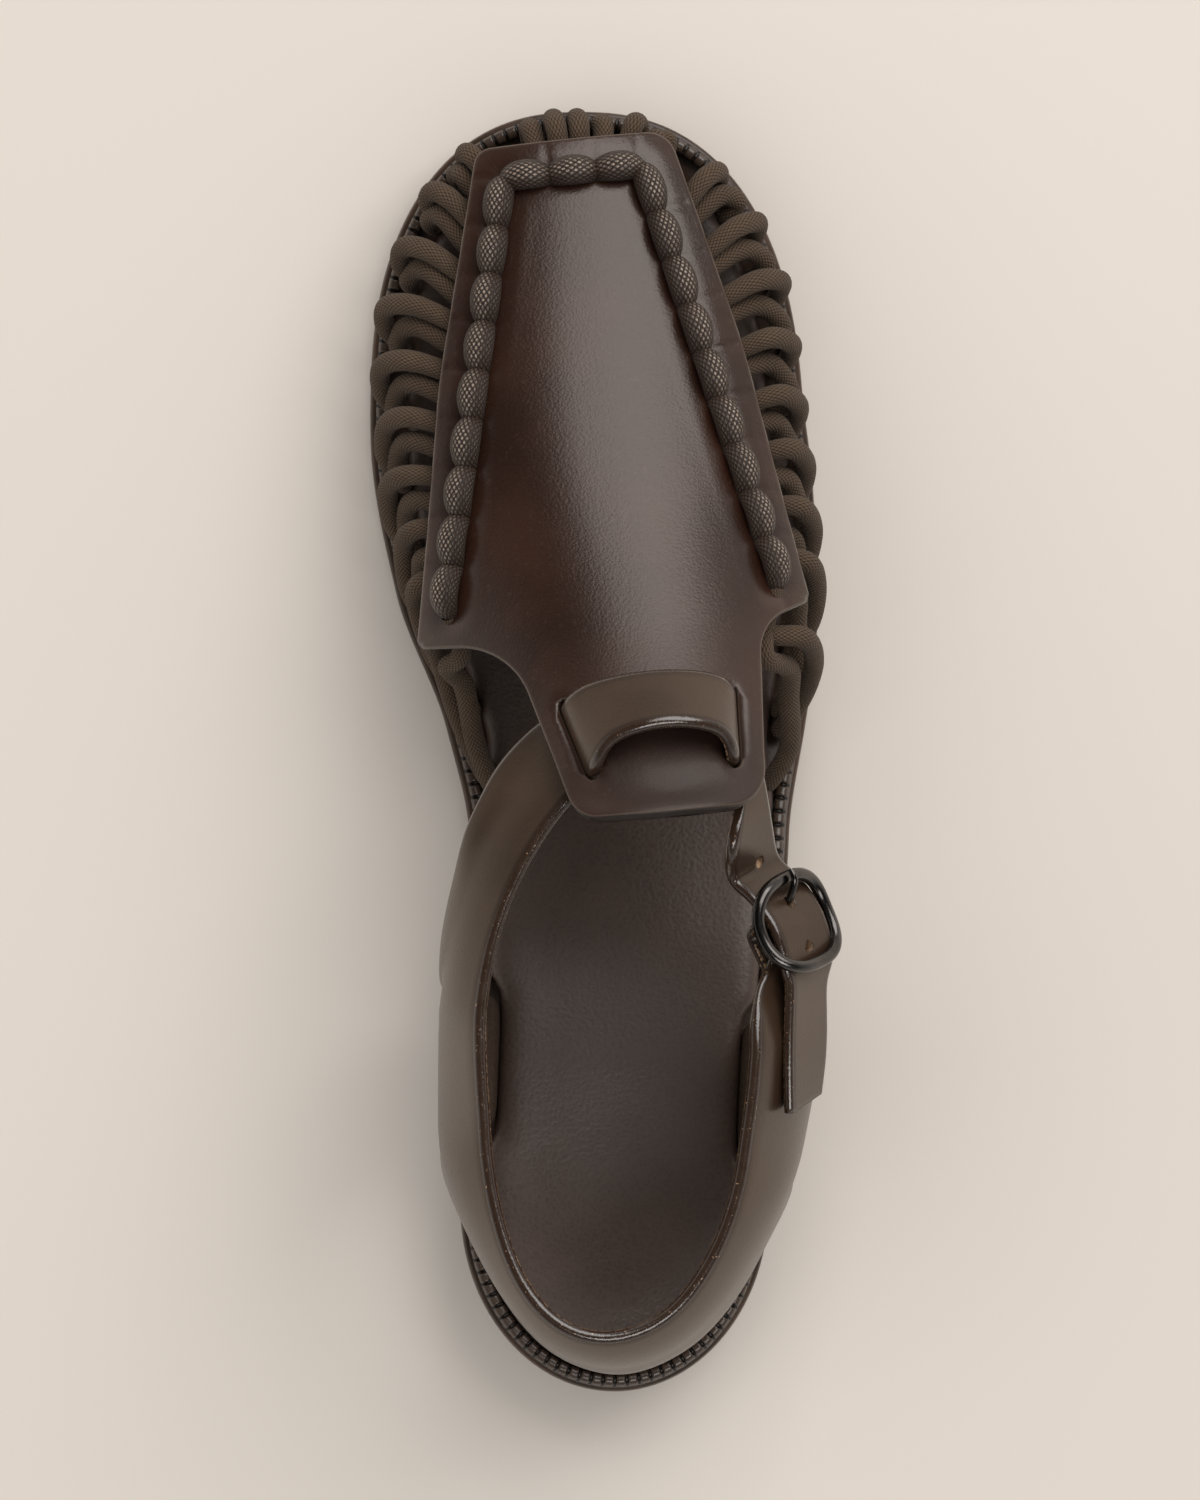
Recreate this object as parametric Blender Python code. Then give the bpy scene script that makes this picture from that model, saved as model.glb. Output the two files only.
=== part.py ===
# Woven t-strap sandal for the right foot: a smooth leather vamp panel laced to a notched welt with thick cord,
# and one long leather strap that runs over the panel's neck, round the heel and into a buckle.
# Metres, +Z up, toe towards +Y, outer side of the foot towards +X, origin on the floor under the heel.

import bpy
import bmesh
import math
from mathutils import Matrix, Vector

# Driving dimensions
LENGTH = 0.262
BALL_WIDTH = 0.0925
HEEL_WIDTH = 0.0630
INSTEP_HEIGHT = 0.0860
HEEL_TO_ORIGIN = 0.0300
CLEARANCE = 0.0003

# Sole
TOP_LIFT = 0.0050
HEEL_RISE = 0.0160
HEEL_BREAST = 0.0600
HEEL_TAPER = 0.0012
OUTSOLE_WALL = 0.0045
TOE_SPRING = 0.0070
SOLE_BEVEL = 0.0006
WELT_INSET = 0.0013
WELT_WIDTH = 0.0026
WELT_HEIGHT = 0.0028
NOTCH_PITCH = 0.0025
NOTCH_DEPTH = 0.0009
FOOTBED_WALL = 0.0062
FOOTBED_ROLL = 0.0024

# Upper
PANEL_WALL = 0.0026
STRAP_WALL = 0.0022
FOLD_WALL = 0.0015
FOLD_LENGTH = 0.0090
PUNCH_FROM = 0.0015
PUNCH_TO = 0.0090
STRAP_WIDTH = 0.0160
SLOT_WIDTH = 0.0048
SLOT_END_GAP = 0.0008
ARCH_FRONT_HEIGHT = 0.0050
ARCH_REAR_HEIGHT = 0.0085
ARCH_FRONT_SWEEP = 0.0022
ARCH_REAR_SWEEP = 0.0048
TAB_WIDTH = 0.0210
CHANNEL_CLEAR = 0.0032
TAB_BULGE_SKEW = 0.65
CHANNEL_END = 0.0090
CORD_RADIUS = 0.0025
CORD_HOLE_RADIUS = 0.0022
CORD_WAIST = 0.0017
BEAD_RADIUS = 0.0027
BEADS_ON_SIDE = 9
BEADS_ON_TOE = 3
STRAND_SPREAD = 0.0027

# Buckle
BUCKLE_WIRE = 0.0011
BUCKLE_LENGTH = 0.0205
BUCKLE_WIDTH = 0.0222
BAR_RADIUS = 0.0009
PRONG_RADIUS = 0.0008
PRONG_HOLE_RADIUS = 0.0013
HOLE_PITCH = 0.0095

# Sole sections: share of length, centre line and half width as shares of the ball width
SOLE_SECTIONS = (
    # along, centre, half
    (0.000, 0.000, 0.341),
    (0.145, 0.000, 0.341),
    (0.286, 0.013, 0.342),
    (0.432, 0.037, 0.355),
    (0.516, 0.031, 0.399),
    (0.622, -0.010, 0.470),
    (0.725, -0.045, 0.490),
    (0.779, -0.056, 0.482),
    (1.000, -0.070, 0.450),
)
HEEL_CAP = 0.145
TOE_CAP = 0.782
TOE_SQUARENESS = 2.4

# Height of the sole's underside: share of length, share of the heel rise or of the toe spring
FLAT_FROM = 0.560
FLAT_TO = 0.740
SHANK_FROM = 0.245

# Form of the last over the instep: ridge height and cross curve as shares of the instep height
LAST_SECTIONS = (
    # along, ridge, axis as a share of the ball width, crown
    (0.400, 1.080, 0.090, 0.640),
    (0.450, 0.975, 0.075, 0.560),
    (0.500, 0.895, 0.060, 0.480),
    (0.540, 0.835, 0.045, 0.420),
    (0.600, 0.745, 0.015, 0.350),
    (0.680, 0.640, -0.030, 0.290),
    (0.780, 0.535, -0.065, 0.260),
    (0.880, 0.440, -0.085, 0.260),
    (0.960, 0.365, -0.095, 0.300),
    (1.000, 0.315, -0.100, 0.340),
)
CROWN_POWER = 2.2

# Vamp panel outline, clockwise from the inner toe corner
PANEL_CORNERS = (
    # along, across as a share of the ball width, corner radius in metres
    (0.966, -0.310, 0.004),
    (0.982, 0.118, 0.006),
    (0.813, 0.280, 0.140),
    (0.615, 0.420, 0.0015),
    (0.598, 0.303, 0.009),
    (0.460, 0.306, 0.008),
    (0.448, -0.104, 0.006),
    (0.579, -0.243, 0.014),
    (0.577, -0.441, 0.0015),
    (0.782, -0.393, 0.140),
)

# Stitch line of the cord: outer end, two toe corners, inner end
STITCH_CORNERS = (
    # along, across
    (0.6255, 0.341),
    (0.9505, 0.052),
    (0.9400, -0.247),
    (0.6035, -0.372),
)

# Strap slots through the neck of the panel
SLOT_ENDS = (
    # along front, across front, along rear, across rear
    (0.5365, -0.129, 0.4810, -0.067),
    (0.5477, 0.232, 0.4897, 0.237),
)

# The strap from its folded end at the buckle, round the heel, up the inner side to the panel
HEEL_STRAP = (
    # along lower, across lower, height lower, along upper, across upper, height upper, bulge, tab
    (0.315, 0.410, 0.610, 0.312, 0.270, 0.840, 0.004, 0.0),
    (0.300, 0.422, 0.570, 0.290, 0.268, 0.855, 0.008, 0.0),
    (0.275, 0.400, 0.200, 0.262, 0.270, 0.865, 0.150, 1.0),
    (0.195, 0.400, 0.200, 0.206, 0.250, 0.870, 0.120, 1.0),
    (0.168, 0.365, 0.440, 0.172, 0.232, 0.875, 0.050, 0.0),
    (0.140, 0.330, 0.500, 0.144, 0.212, 0.880, 0.035, 0.0),
    (0.086, 0.246, 0.560, 0.107, 0.158, 0.890, 0.030, 0.0),
    (0.048, 0.140, 0.590, 0.077, 0.090, 0.898, 0.030, 0.0),
    (0.030, 0.000, 0.600, 0.060, -0.025, 0.900, 0.030, 0.0),
    (0.048, -0.140, 0.590, 0.069, -0.138, 0.898, 0.030, 0.0),
    (0.090, -0.238, 0.555, 0.103, -0.220, 0.890, 0.030, 0.0),
    (0.150, -0.330, 0.490, 0.154, -0.268, 0.880, 0.035, 0.0),
    (0.188, -0.365, 0.430, 0.192, -0.284, 0.875, 0.050, 0.0),
    (0.218, -0.350, 0.200, 0.226, -0.292, 0.870, 0.100, 1.0),
    (0.298, -0.350, 0.200, 0.280, -0.302, 0.862, 0.100, 1.0),
    (0.330, -0.392, 0.510, 0.310, -0.296, 0.856, 0.030, 0.0),
    (0.362, -0.374, 0.600, 0.338, -0.284, 0.850, 0.020, 0.0),
    (0.404, -0.352, 0.660, 0.368, -0.262, 0.848, 0.015, 0.0),
    (0.446, -0.324, 0.715, 0.400, -0.224, 0.846, 0.010, 0.0),
    (0.492, -0.262, 0.712, 0.437, -0.172, 0.842, 0.000, 0.0),
)

# The strap's free end on the outer side: from the panel down to the buckle
FRONT_STRAP = (
    # along lower, across lower, height lower, along upper, across upper, height upper
    (0.476, 0.300, 0.745, 0.447, 0.236, 0.850),
    (0.442, 0.318, 0.700, 0.425, 0.222, 0.850),
)

# The tail behind the buckle, lying over the heel strap
TAIL = (
    (0.325, 0.438, 0.640, 0.323, 0.352, 0.812),
    (0.276, 0.440, 0.625, 0.272, 0.348, 0.805),
    (0.240, 0.428, 0.620, 0.226, 0.352, 0.782),
)

# Place of the buckle's bar, its tilt, and the tail that hangs behind it
BUCKLE_ALONG = 0.365
BUCKLE_ACROSS = 0.334
BUCKLE_HEIGHT = 0.710
BUCKLE_TURN = math.radians(22.0)
BUCKLE_LEAN = math.radians(36.0)

RING_STEPS = 36


# Reading of tables

def between(rows, column, place):
    """Smooth value of one column of a table at a place in its first column, without overshoot."""
    knots = [row[0] for row in rows]
    values = [row[column] for row in rows]
    slopes = [(b - a) / (q - p) for a, b, p, q in zip(values, values[1:], knots, knots[1:])]
    tangents = [slopes[0]]
    for before, after in zip(slopes, slopes[1:]):
        steady = before * after > 0.0
        tangents.append(2.0 * before * after / (before + after) if steady else 0.0)
    tangents.append(slopes[-1])
    place = min(max(place, knots[0]), knots[-1])
    index = max(i for i in range(len(knots) - 1) if knots[i] <= place)
    span = knots[index + 1] - knots[index]
    t = (place - knots[index]) / span
    return ((2 * t**3 - 3 * t**2 + 1) * values[index] + (t**3 - 2 * t**2 + t) * span * tangents[index]
            + (3 * t**2 - 2 * t**3) * values[index + 1] + (t**3 - t**2) * span * tangents[index + 1])


def ease(start, end, value):
    """Smooth step from 0 at start to 1 at end."""
    t = min(max((value - start) / (end - start), 0.0), 1.0)
    return t * t * (3.0 - 2.0 * t)


def lay(along):
    """World Y of a share of the sole's length."""
    return along * LENGTH - HEEL_TO_ORIGIN


def place(along, across, height):
    """World point from shares of the length, the ball width and the instep height."""
    return Vector((across * BALL_WIDTH, lay(along), height * INSTEP_HEIGHT))


# Form of the sole

def half_width(along):
    """Half width of the sole, with an oval heel and a squarish toe."""
    half = between(SOLE_SECTIONS, 2, along) * BALL_WIDTH
    if along < HEEL_CAP:
        half *= HEEL_WIDTH / (2.0 * between(SOLE_SECTIONS, 2, HEEL_CAP) * BALL_WIDTH)
        share = (HEEL_CAP - along) / HEEL_CAP
        half *= math.sqrt(max(1.0 - share**2, 0.0))
    elif along > TOE_CAP:
        share = (along - TOE_CAP) / (1.0 - TOE_CAP)
        half *= max(1.0 - share**TOE_SQUARENESS, 0.0) ** (1.0 / TOE_SQUARENESS)
    return half


def sole_edge(along, side):
    """Plan point on the sole's edge: side is 1 on the outer edge and -1 on the inner one."""
    centre = between(SOLE_SECTIONS, 1, along) * BALL_WIDTH
    return Vector((centre + side * half_width(along), lay(along)))


def edge_path(fine=400):
    """Closed plan path of the sole's edge, from the heel round the outer side, with shares of its way round."""
    turn = [0.5 - 0.5 * math.cos(math.pi * i / fine) for i in range(fine + 1)]
    path = [sole_edge(a, 1) for a in turn] + [sole_edge(a, -1) for a in reversed(turn[1:-1])]
    path.append(path[0])
    reach = [0.0]
    for a, b in zip(path, path[1:]):
        reach.append(reach[-1] + (b - a).length)
    return path, reach


EDGE_PATH, EDGE_REACH = edge_path()


def edge_point(share, inset=0.0):
    """Plan point at a share of the way round the sole, moved inwards by the inset."""
    target = (share % 1.0) * EDGE_REACH[-1]
    low, high = 0, len(EDGE_REACH) - 1
    while high - low > 1:
        middle = (low + high) // 2
        low, high = (middle, high) if EDGE_REACH[middle] <= target else (low, middle)
    a, b = EDGE_PATH[low], EDGE_PATH[high]
    t = (target - EDGE_REACH[low]) / (EDGE_REACH[high] - EDGE_REACH[low])
    ahead = EDGE_PATH[(high + 2) % (len(EDGE_PATH) - 1)]
    behind = EDGE_PATH[(low - 2) % (len(EDGE_PATH) - 1)]
    along = (ahead - behind).normalized()
    return a.lerp(b, t) + Vector((-along.y, along.x)) * inset


def share_of(along, side):
    """Share of the way round the sole at which its edge passes a place along the foot."""
    target = sole_edge(along, side)
    nearest = min(range(len(EDGE_PATH) - 1), key=lambda i: (EDGE_PATH[i] - target).length)
    return EDGE_REACH[nearest] / EDGE_REACH[-1]


def underside(y):
    """Height of the outsole's underside: raised over the heel, flat under the ball, sprung at the toe."""
    along = (y + HEEL_TO_ORIGIN) / LENGTH
    heel = HEEL_RISE * (1.0 - ease(SHANK_FROM, FLAT_FROM, along))
    toe = TOE_SPRING * max((along - FLAT_TO) / (1.0 - FLAT_TO), 0.0) ** 1.7
    return heel + toe


def deck(y):
    """Height of the outsole's upper face."""
    return underside(y) + OUTSOLE_WALL


CORD_FROM = 0.528
CORD_SEAT = WELT_INSET + WELT_WIDTH + 2.0 * CORD_RADIUS - 0.0012
TAB_SEAT = WELT_INSET + WELT_WIDTH + STRAP_WALL + 9.0 * CLEARANCE
TABS = ((1, 0.235), (-1, 0.258))


def footbed_inset(share):
    """How far the footbed stays inside the sole's edge: more under the cord and behind the strap's tabs."""
    point = edge_point(share)
    along = (point.y + HEEL_TO_ORIGIN) / LENGTH
    inset = WELT_INSET + WELT_WIDTH + CLEARANCE
    inset += (CORD_SEAT - inset) * ease(CORD_FROM - 0.075, CORD_FROM - 0.020, along)
    side = 1 if share < 0.5 else -1
    for tab_side, tab_along in TABS:
        if tab_side == side:
            off = abs(along - tab_along) * LENGTH - TAB_WIDTH / 2.0
            inset += (TAB_SEAT - inset) * (1.0 - ease(CHANNEL_CLEAR, CHANNEL_END, off))
    return inset


# Mesh building

def new_object(name, points, faces, material, collection):
    """Object from points and faces, with its faces turned outwards."""
    mesh = bpy.data.meshes.new(name)
    mesh.from_pydata([tuple(p) for p in points], [], faces)
    shape = bmesh.new()
    shape.from_mesh(mesh)
    bmesh.ops.recalc_face_normals(shape, faces=shape.faces)
    shape.to_mesh(mesh)
    shape.free()
    obj = bpy.data.objects.new(name, mesh)
    collection.objects.link(obj)
    if material:
        mesh.materials.append(material)
        mesh.shade_smooth()
        mesh.set_sharp_from_angle(angle=math.radians(40.0))
    return obj


def ladder(first, count):
    """Faces that close a ring whose points pair up across the foot, from heel to toe."""
    half = count // 2
    faces = [(first, first + 1, first + count - 1), (first + half - 1, first + half, first + half + 1)]
    for i in range(1, half - 1):
        faces.append((first + i, first + i + 1, first + count - i - 1, first + count - i))
    return faces


def stacked_rings(rings):
    """Points and faces of a closed body from rings of equal count, closed across at both ends."""
    count = len(rings[0])
    points = [p for ring in rings for p in ring]
    faces = ladder(0, count) + ladder(count * (len(rings) - 1), count)
    for level in range(len(rings) - 1):
        for i in range(count):
            j = (i + 1) % count
            faces.append((level * count + i, level * count + j, (level + 1) * count + j, (level + 1) * count + i))
    return points, faces


def ribbon(rows, walls):
    """Closed strip of leather: rows of points across it on its middle surface, and a wall for each row."""
    count = len(rows[0])
    outer, inner = [], []
    for i, row in enumerate(rows):
        before, after = rows[max(i - 1, 0)], rows[min(i + 1, len(rows) - 1)]
        for k, point in enumerate(row):
            forward = after[k] - before[k]
            across = row[min(k + 1, count - 1)] - row[max(k - 1, 0)]
            normal = forward.cross(across).normalized() * (walls[i] / 2.0)
            outer.append(point + normal)
            inner.append(point - normal)
    size = len(outer)
    faces = []
    for i in range(len(rows) - 1):
        for k in range(count - 1):
            a = i * count + k
            faces.append((a, a + 1, a + count + 1, a + count))
            faces.append((size + a, size + a + count, size + a + count + 1, size + a + 1))
        for k in (0, count - 1):
            a = i * count + k
            faces.append((a, a + count, size + a + count, size + a))
    for i in (0, len(rows) - 1):
        for k in range(count - 1):
            a = i * count + k
            faces.append((a, a + 1, size + a + 1, size + a))
    return outer + inner, faces


def tube(route, radii, sides):
    """Closed tube along a route, with one radius for each of its points."""
    points, faces = [], []
    guide = (route[1] - route[0]).orthogonal().normalized()
    for i, centre in enumerate(route):
        forward = (route[min(i + 1, len(route) - 1)] - route[max(i - 1, 0)]).normalized()
        guide = (guide - forward * guide.dot(forward)).normalized()
        other = forward.cross(guide)
        for k in range(sides):
            angle = 2.0 * math.pi * k / sides
            points.append(centre + (guide * math.cos(angle) + other * math.sin(angle)) * radii[i])
    for i in range(len(route) - 1):
        for k in range(sides):
            a, b = i * sides + k, i * sides + (k + 1) % sides
            faces.append((a, b, b + sides, a + sides))
    faces.append(tuple(range(sides)))
    faces.append(tuple(range(len(points) - sides, len(points))))
    return points, faces


def gathered(shapes):
    """Several shapes as one list of points and one of faces."""
    points, faces = [], []
    for shape_points, shape_faces in shapes:
        faces.extend(tuple(i + len(points) for i in face) for face in shape_faces)
        points.extend(shape_points)
    return points, faces


def smooth_route(knots, steps):
    """Points of a smooth curve through the knots, with a number of steps between two of them."""
    route = []
    for i in range(len(knots) - 1):
        p0, p1 = knots[max(i - 1, 0)], knots[i]
        p2, p3 = knots[i + 1], knots[min(i + 2, len(knots) - 1)]
        for k in range(steps):
            t = k / steps
            route.append(0.5 * (2 * p1 + (p2 - p0) * t + (2 * p0 - 5 * p1 + 4 * p2 - p3) * t**2
                                + (3 * p1 - p0 - 3 * p2 + p3) * t**3))
    route.append(knots[-1].copy())
    return route


def boolean(obj, cutter, operation, itself=False):
    """Boolean modifier that joins, cuts or keeps what the cutter covers."""
    modifier = obj.modifiers.new(cutter.name, "BOOLEAN")
    modifier.object = cutter
    modifier.operation = operation
    modifier.solver = "EXACT"
    modifier.use_self = itself
    cutter.hide_render = True
    cutter.display_type = "WIRE"


def leather(name, colour, roughness, metallic=0.0):
    """Principled material."""
    material = bpy.data.materials.new(name)
    material.use_nodes = True
    shader = material.node_tree.nodes["Principled BSDF"]
    shader.inputs["Base Color"].default_value = (*colour, 1.0)
    shader.inputs["Roughness"].default_value = roughness
    shader.inputs["Metallic"].default_value = metallic
    return material


# Sole pieces

def ring_at(height, inset, steps=RING_STEPS):
    """Ring of points round the sole: height takes a Y, inset is a length or takes a share of the way round."""
    ring = []
    for i in range(2 * steps):
        share = i / (2 * steps)
        pull = inset(share) if callable(inset) else inset
        point = edge_point(share, pull)
        ring.append(Vector((point.x, point.y, height(point.y))))
    return ring


def heel_ring(inset, height, steps=11):
    """Ring round the heel block: the sole's own edge behind, and a hollowed breast in front."""
    edge_share = share_of(HEEL_BREAST / LENGTH, 1)
    ring = []
    for i in range(-steps, steps + 1):
        point = edge_point(edge_share * i / steps, inset)
        ring.append(Vector((point.x, point.y, height)))
    start, end = ring[-1].copy(), ring[0].copy()
    for i in range(1, 6):
        t = i / 6
        point = start.lerp(end, t)
        point.y -= HEEL_TO_ORIGIN * 0.12 * math.sin(math.pi * t)
        ring.append(point)
    return ring


def prism(rings):
    """Closed body from rings of equal count with one flat face at each end."""
    count = len(rings[0])
    points = [p for ring in rings for p in ring]
    faces = [tuple(range(count)), tuple(range(count * (len(rings) - 1), count * len(rings)))]
    for level in range(len(rings) - 1):
        for i in range(count):
            j = (i + 1) % count
            faces.append((level * count + i, level * count + j, (level + 1) * count + j, (level + 1) * count + i))
    return points, faces


def make_heel(parts, rubber, stack):
    lift_rings = [heel_ring(SOLE_BEVEL * 2.0 + HEEL_TAPER, 0.0), heel_ring(SOLE_BEVEL + HEEL_TAPER, SOLE_BEVEL),
                  heel_ring(SOLE_BEVEL + HEEL_TAPER, TOP_LIFT)]
    new_object("top_lift", *prism(lift_rings), rubber, parts)
    low, high = TOP_LIFT + CLEARANCE, HEEL_RISE - CLEARANCE
    stack_rings = [heel_ring(SOLE_BEVEL + HEEL_TAPER, low), heel_ring(SOLE_BEVEL + HEEL_TAPER / 2, (low + high) / 2),
                   heel_ring(SOLE_BEVEL, high)]
    new_object("heel_stack", *prism(stack_rings), stack, parts)


def make_outsole(parts, material):
    rings = [
        ring_at(underside, SOLE_BEVEL * 1.5),
        ring_at(lambda y: underside(y) + SOLE_BEVEL, 0.0),
        ring_at(lambda y: deck(y) - SOLE_BEVEL, 0.0),
        ring_at(deck, SOLE_BEVEL),
    ]
    new_object("outsole", *stacked_rings(rings), material, parts)


def make_welt(parts, material):
    """Notched welt: its outer upper edge rises and falls from rib to notch, and its other edges are smooth."""
    group = 4
    coarse = round(EDGE_REACH[-1] / (group * NOTCH_PITCH / 2.0) / 2.0) * 2
    fine = coarse * group
    outer, inner = WELT_INSET, WELT_INSET + WELT_WIDTH
    low = CLEARANCE
    points = []
    for i in range(fine):
        notch = i % 2
        plan = edge_point(i / fine, outer + NOTCH_DEPTH * notch * 0.7)
        points.append(Vector((plan.x, plan.y, deck(plan.y) + WELT_HEIGHT - NOTCH_DEPTH * notch)))
    for inset, height in ((outer, low), (inner, low), (inner, WELT_HEIGHT)):
        for i in range(coarse):
            plan = edge_point(i / coarse, inset)
            points.append(Vector((plan.x, plan.y, deck(plan.y) + height)))
    foot, heart, crest = fine, fine + coarse, fine + 2 * coarse
    faces = []
    for i in range(coarse):
        j = (i + 1) % coarse
        teeth = [(i * group + k) % fine for k in range(group + 1)]
        faces.append((*teeth, foot + j, foot + i))
        faces.append((*teeth, crest + j, crest + i))
        faces.append((foot + i, foot + j, heart + j, heart + i))
        faces.append((heart + i, heart + j, crest + j, crest + i))
    new_object("welt", points, faces, material, parts)


def make_footbed(parts, material):
    """Padded footbed: a rolled edge, and an upper face that dips a little to seat the foot."""
    levels = (
        # inset from its own edge, share of its wall
        (0.0012, 0.0),
        (0.0000, 0.30),
        (0.0003, 0.62),
        (FOOTBED_ROLL * 0.6, 0.90),
        (FOOTBED_ROLL * 2.0, 1.0),
        (FOOTBED_ROLL * 4.5, 0.93),
    )
    rings = []
    for inset, share in levels:
        rings.append(ring_at(lambda y, s=share: deck(y) + CLEARANCE + FOOTBED_WALL * s,
                             lambda place_share, extra=inset: footbed_inset(place_share) + extra))
    new_object("footbed", *stacked_rings(rings), material, parts)


# Vamp panel

def panel_top(x, y):
    """Height of the panel's outer face: the last's ridge, falling away to both sides."""
    along = (y + HEEL_TO_ORIGIN) / LENGTH
    ridge = between(LAST_SECTIONS, 1, along) * INSTEP_HEIGHT
    axis = between(LAST_SECTIONS, 2, along) * BALL_WIDTH
    crown = between(LAST_SECTIONS, 3, along) * INSTEP_HEIGHT
    return ridge - crown * (abs(x - axis) / (BALL_WIDTH / 2.0)) ** CROWN_POWER


def panel_normal(x, y):
    """Outward direction of the panel's outer face."""
    step = PANEL_WALL / 4.0
    slope_x = (panel_top(x + step, y) - panel_top(x - step, y)) / (2.0 * step)
    slope_y = (panel_top(x, y + step) - panel_top(x, y - step)) / (2.0 * step)
    return Vector((-slope_x, -slope_y, 1.0)).normalized()


def on_panel(along, across, lift):
    """Point over the panel's outer face, raised along its normal."""
    x, y = across * BALL_WIDTH, lay(along)
    return Vector((x, y, panel_top(x, y))) + panel_normal(x, y) * lift


def under_panel(plan, depth):
    """Point straight below a plan place, at a depth from the panel's outer face."""
    return Vector((plan.x, plan.y, panel_top(plan.x, plan.y) - depth / panel_normal(plan.x, plan.y).z))


def rounded_outline(corners):
    """Plan outline with each corner turned to an arc of its radius."""
    plan = [Vector((across * BALL_WIDTH, lay(along))) for along, across, radius in corners]
    outline = []
    for i, corner in enumerate(plan):
        radius = corners[i][2]
        back = (plan[i - 1] - corner).normalized()
        ahead = (plan[(i + 1) % len(plan)] - corner).normalized()
        half = back.angle(ahead) / 2.0
        reach = radius / math.tan(half)
        centre = corner + (back + ahead).normalized() * (radius / math.sin(half))
        start, end = corner + back * reach, corner + ahead * reach
        first, turn = start - centre, (start - centre).angle_signed(end - centre)
        steps = max(2, round(abs(turn) / math.radians(22.0)))
        for k in range(steps + 1):
            outline.append(centre + Matrix.Rotation(-turn * k / steps, 2) @ first)
    return outline


def make_panel(parts, cutters, material):
    across_steps, along_steps = 8, 13
    low, high = lay(0.43), lay(1.0)
    side = BALL_WIDTH * 0.47
    middle = []
    for j in range(along_steps + 1):
        y = low + (high - low) * j / along_steps
        xs = [-side + 2.0 * side * i / across_steps for i in range(across_steps + 1)]
        middle.append([Vector((x, y, panel_top(x, y) - PANEL_WALL / 2.0)) for x in xs])
    panel = new_object("vamp_panel", *ribbon(middle, [PANEL_WALL] * len(middle)), material, parts)
    outline = rounded_outline(PANEL_CORNERS)
    rings = [[Vector((p.x, p.y, z)) for p in outline] for z in (0.0, INSTEP_HEIGHT * 1.4)]
    boolean(panel, new_object("panel_outline", *prism(rings), None, cutters), "INTERSECT")
    slots = []
    for front_along, front_across, rear_along, rear_across in SLOT_ENDS:
        middle_along, middle_across = (front_along + rear_along) / 2.0, (front_across + rear_across) / 2.0
        centre = on_panel(middle_along, middle_across, -PANEL_WALL / 2.0)
        out = (on_panel(middle_along, middle_across, PANEL_WALL) - centre).normalized() * PANEL_WALL * 2.0
        run = on_panel(front_along, front_across, 0.0) - on_panel(rear_along, rear_across, 0.0)
        aside = out.cross(run).normalized() * SLOT_WIDTH / 2.0
        reach = run / 2.0 + run.normalized() * SLOT_END_GAP
        corners = [centre - reach - aside, centre - reach + aside, centre + reach + aside, centre + reach - aside]
        slots.append(prism([[corner + out * level for corner in corners] for level in (-1.0, 1.0)]))
    boolean(panel, new_object("panel_slots", *gathered(slots), None, cutters), "DIFFERENCE")
    holes = []
    for x, y in (hole.to_tuple() for hole in stitch_holes()):
        top = panel_top(x, y)
        ends = [Vector((x, y, top - 4.0 * PANEL_WALL)), Vector((x, y, top + 2.0 * PANEL_WALL))]
        holes.append(tube(ends, [CORD_HOLE_RADIUS] * 2, 6))
    boolean(panel, new_object("cord_holes", *gathered(holes), None, cutters), "DIFFERENCE")


# Cord

def stitch_holes():
    """Plan places of the holes that the cord runs through, from the outer end round the toe to the inner end."""
    corners = [Vector((across * BALL_WIDTH, lay(along))) for along, across in STITCH_CORNERS]
    holes = [corners[0]]
    for a, b, beads in zip(corners, corners[1:], (BEADS_ON_SIDE, BEADS_ON_TOE, BEADS_ON_SIDE)):
        holes.extend(a.lerp(b, (i + 1) / beads) for i in range(beads))
    return holes


def bead_chain():
    """Running stitch on the panel: one bead of cord between two holes, pinched at each hole."""
    holes = stitch_holes()
    route, radii = [], []
    steps = 3
    for i, (a, b) in enumerate(zip(holes, holes[1:])):
        for k in range(steps + (i == len(holes) - 2)):
            swell = math.sin(math.pi * k / steps) ** 0.7 if 0 < k < steps else 0.0
            radius = CORD_WAIST + (BEAD_RADIUS - CORD_WAIST) * swell
            plan = a.lerp(b, k / steps)
            route.append(under_panel(plan, -radius - CLEARANCE))
            radii.append(radius)
    return tube(route, radii, 6)


def panel_edge_from(hole, towards):
    """Plan place where a line from a hole towards the sole's edge leaves the panel."""
    outline = rounded_outline(PANEL_CORNERS)
    for a, b in zip(outline, outline[1:] + outline[:1]):
        run, wall = towards - hole, b - a
        cross = run.x * wall.y - run.y * wall.x
        if abs(cross) < 1e-12:
            continue
        t = ((a.x - hole.x) * wall.y - (a.y - hole.y) * wall.x) / cross
        u = ((a.x - hole.x) * run.y - (a.y - hole.y) * run.x) / cross
        if 0.0 < t < 1.0 and 0.0 <= u <= 1.0:
            return hole + run * t
    return hole.lerp(towards, 0.5)


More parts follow.
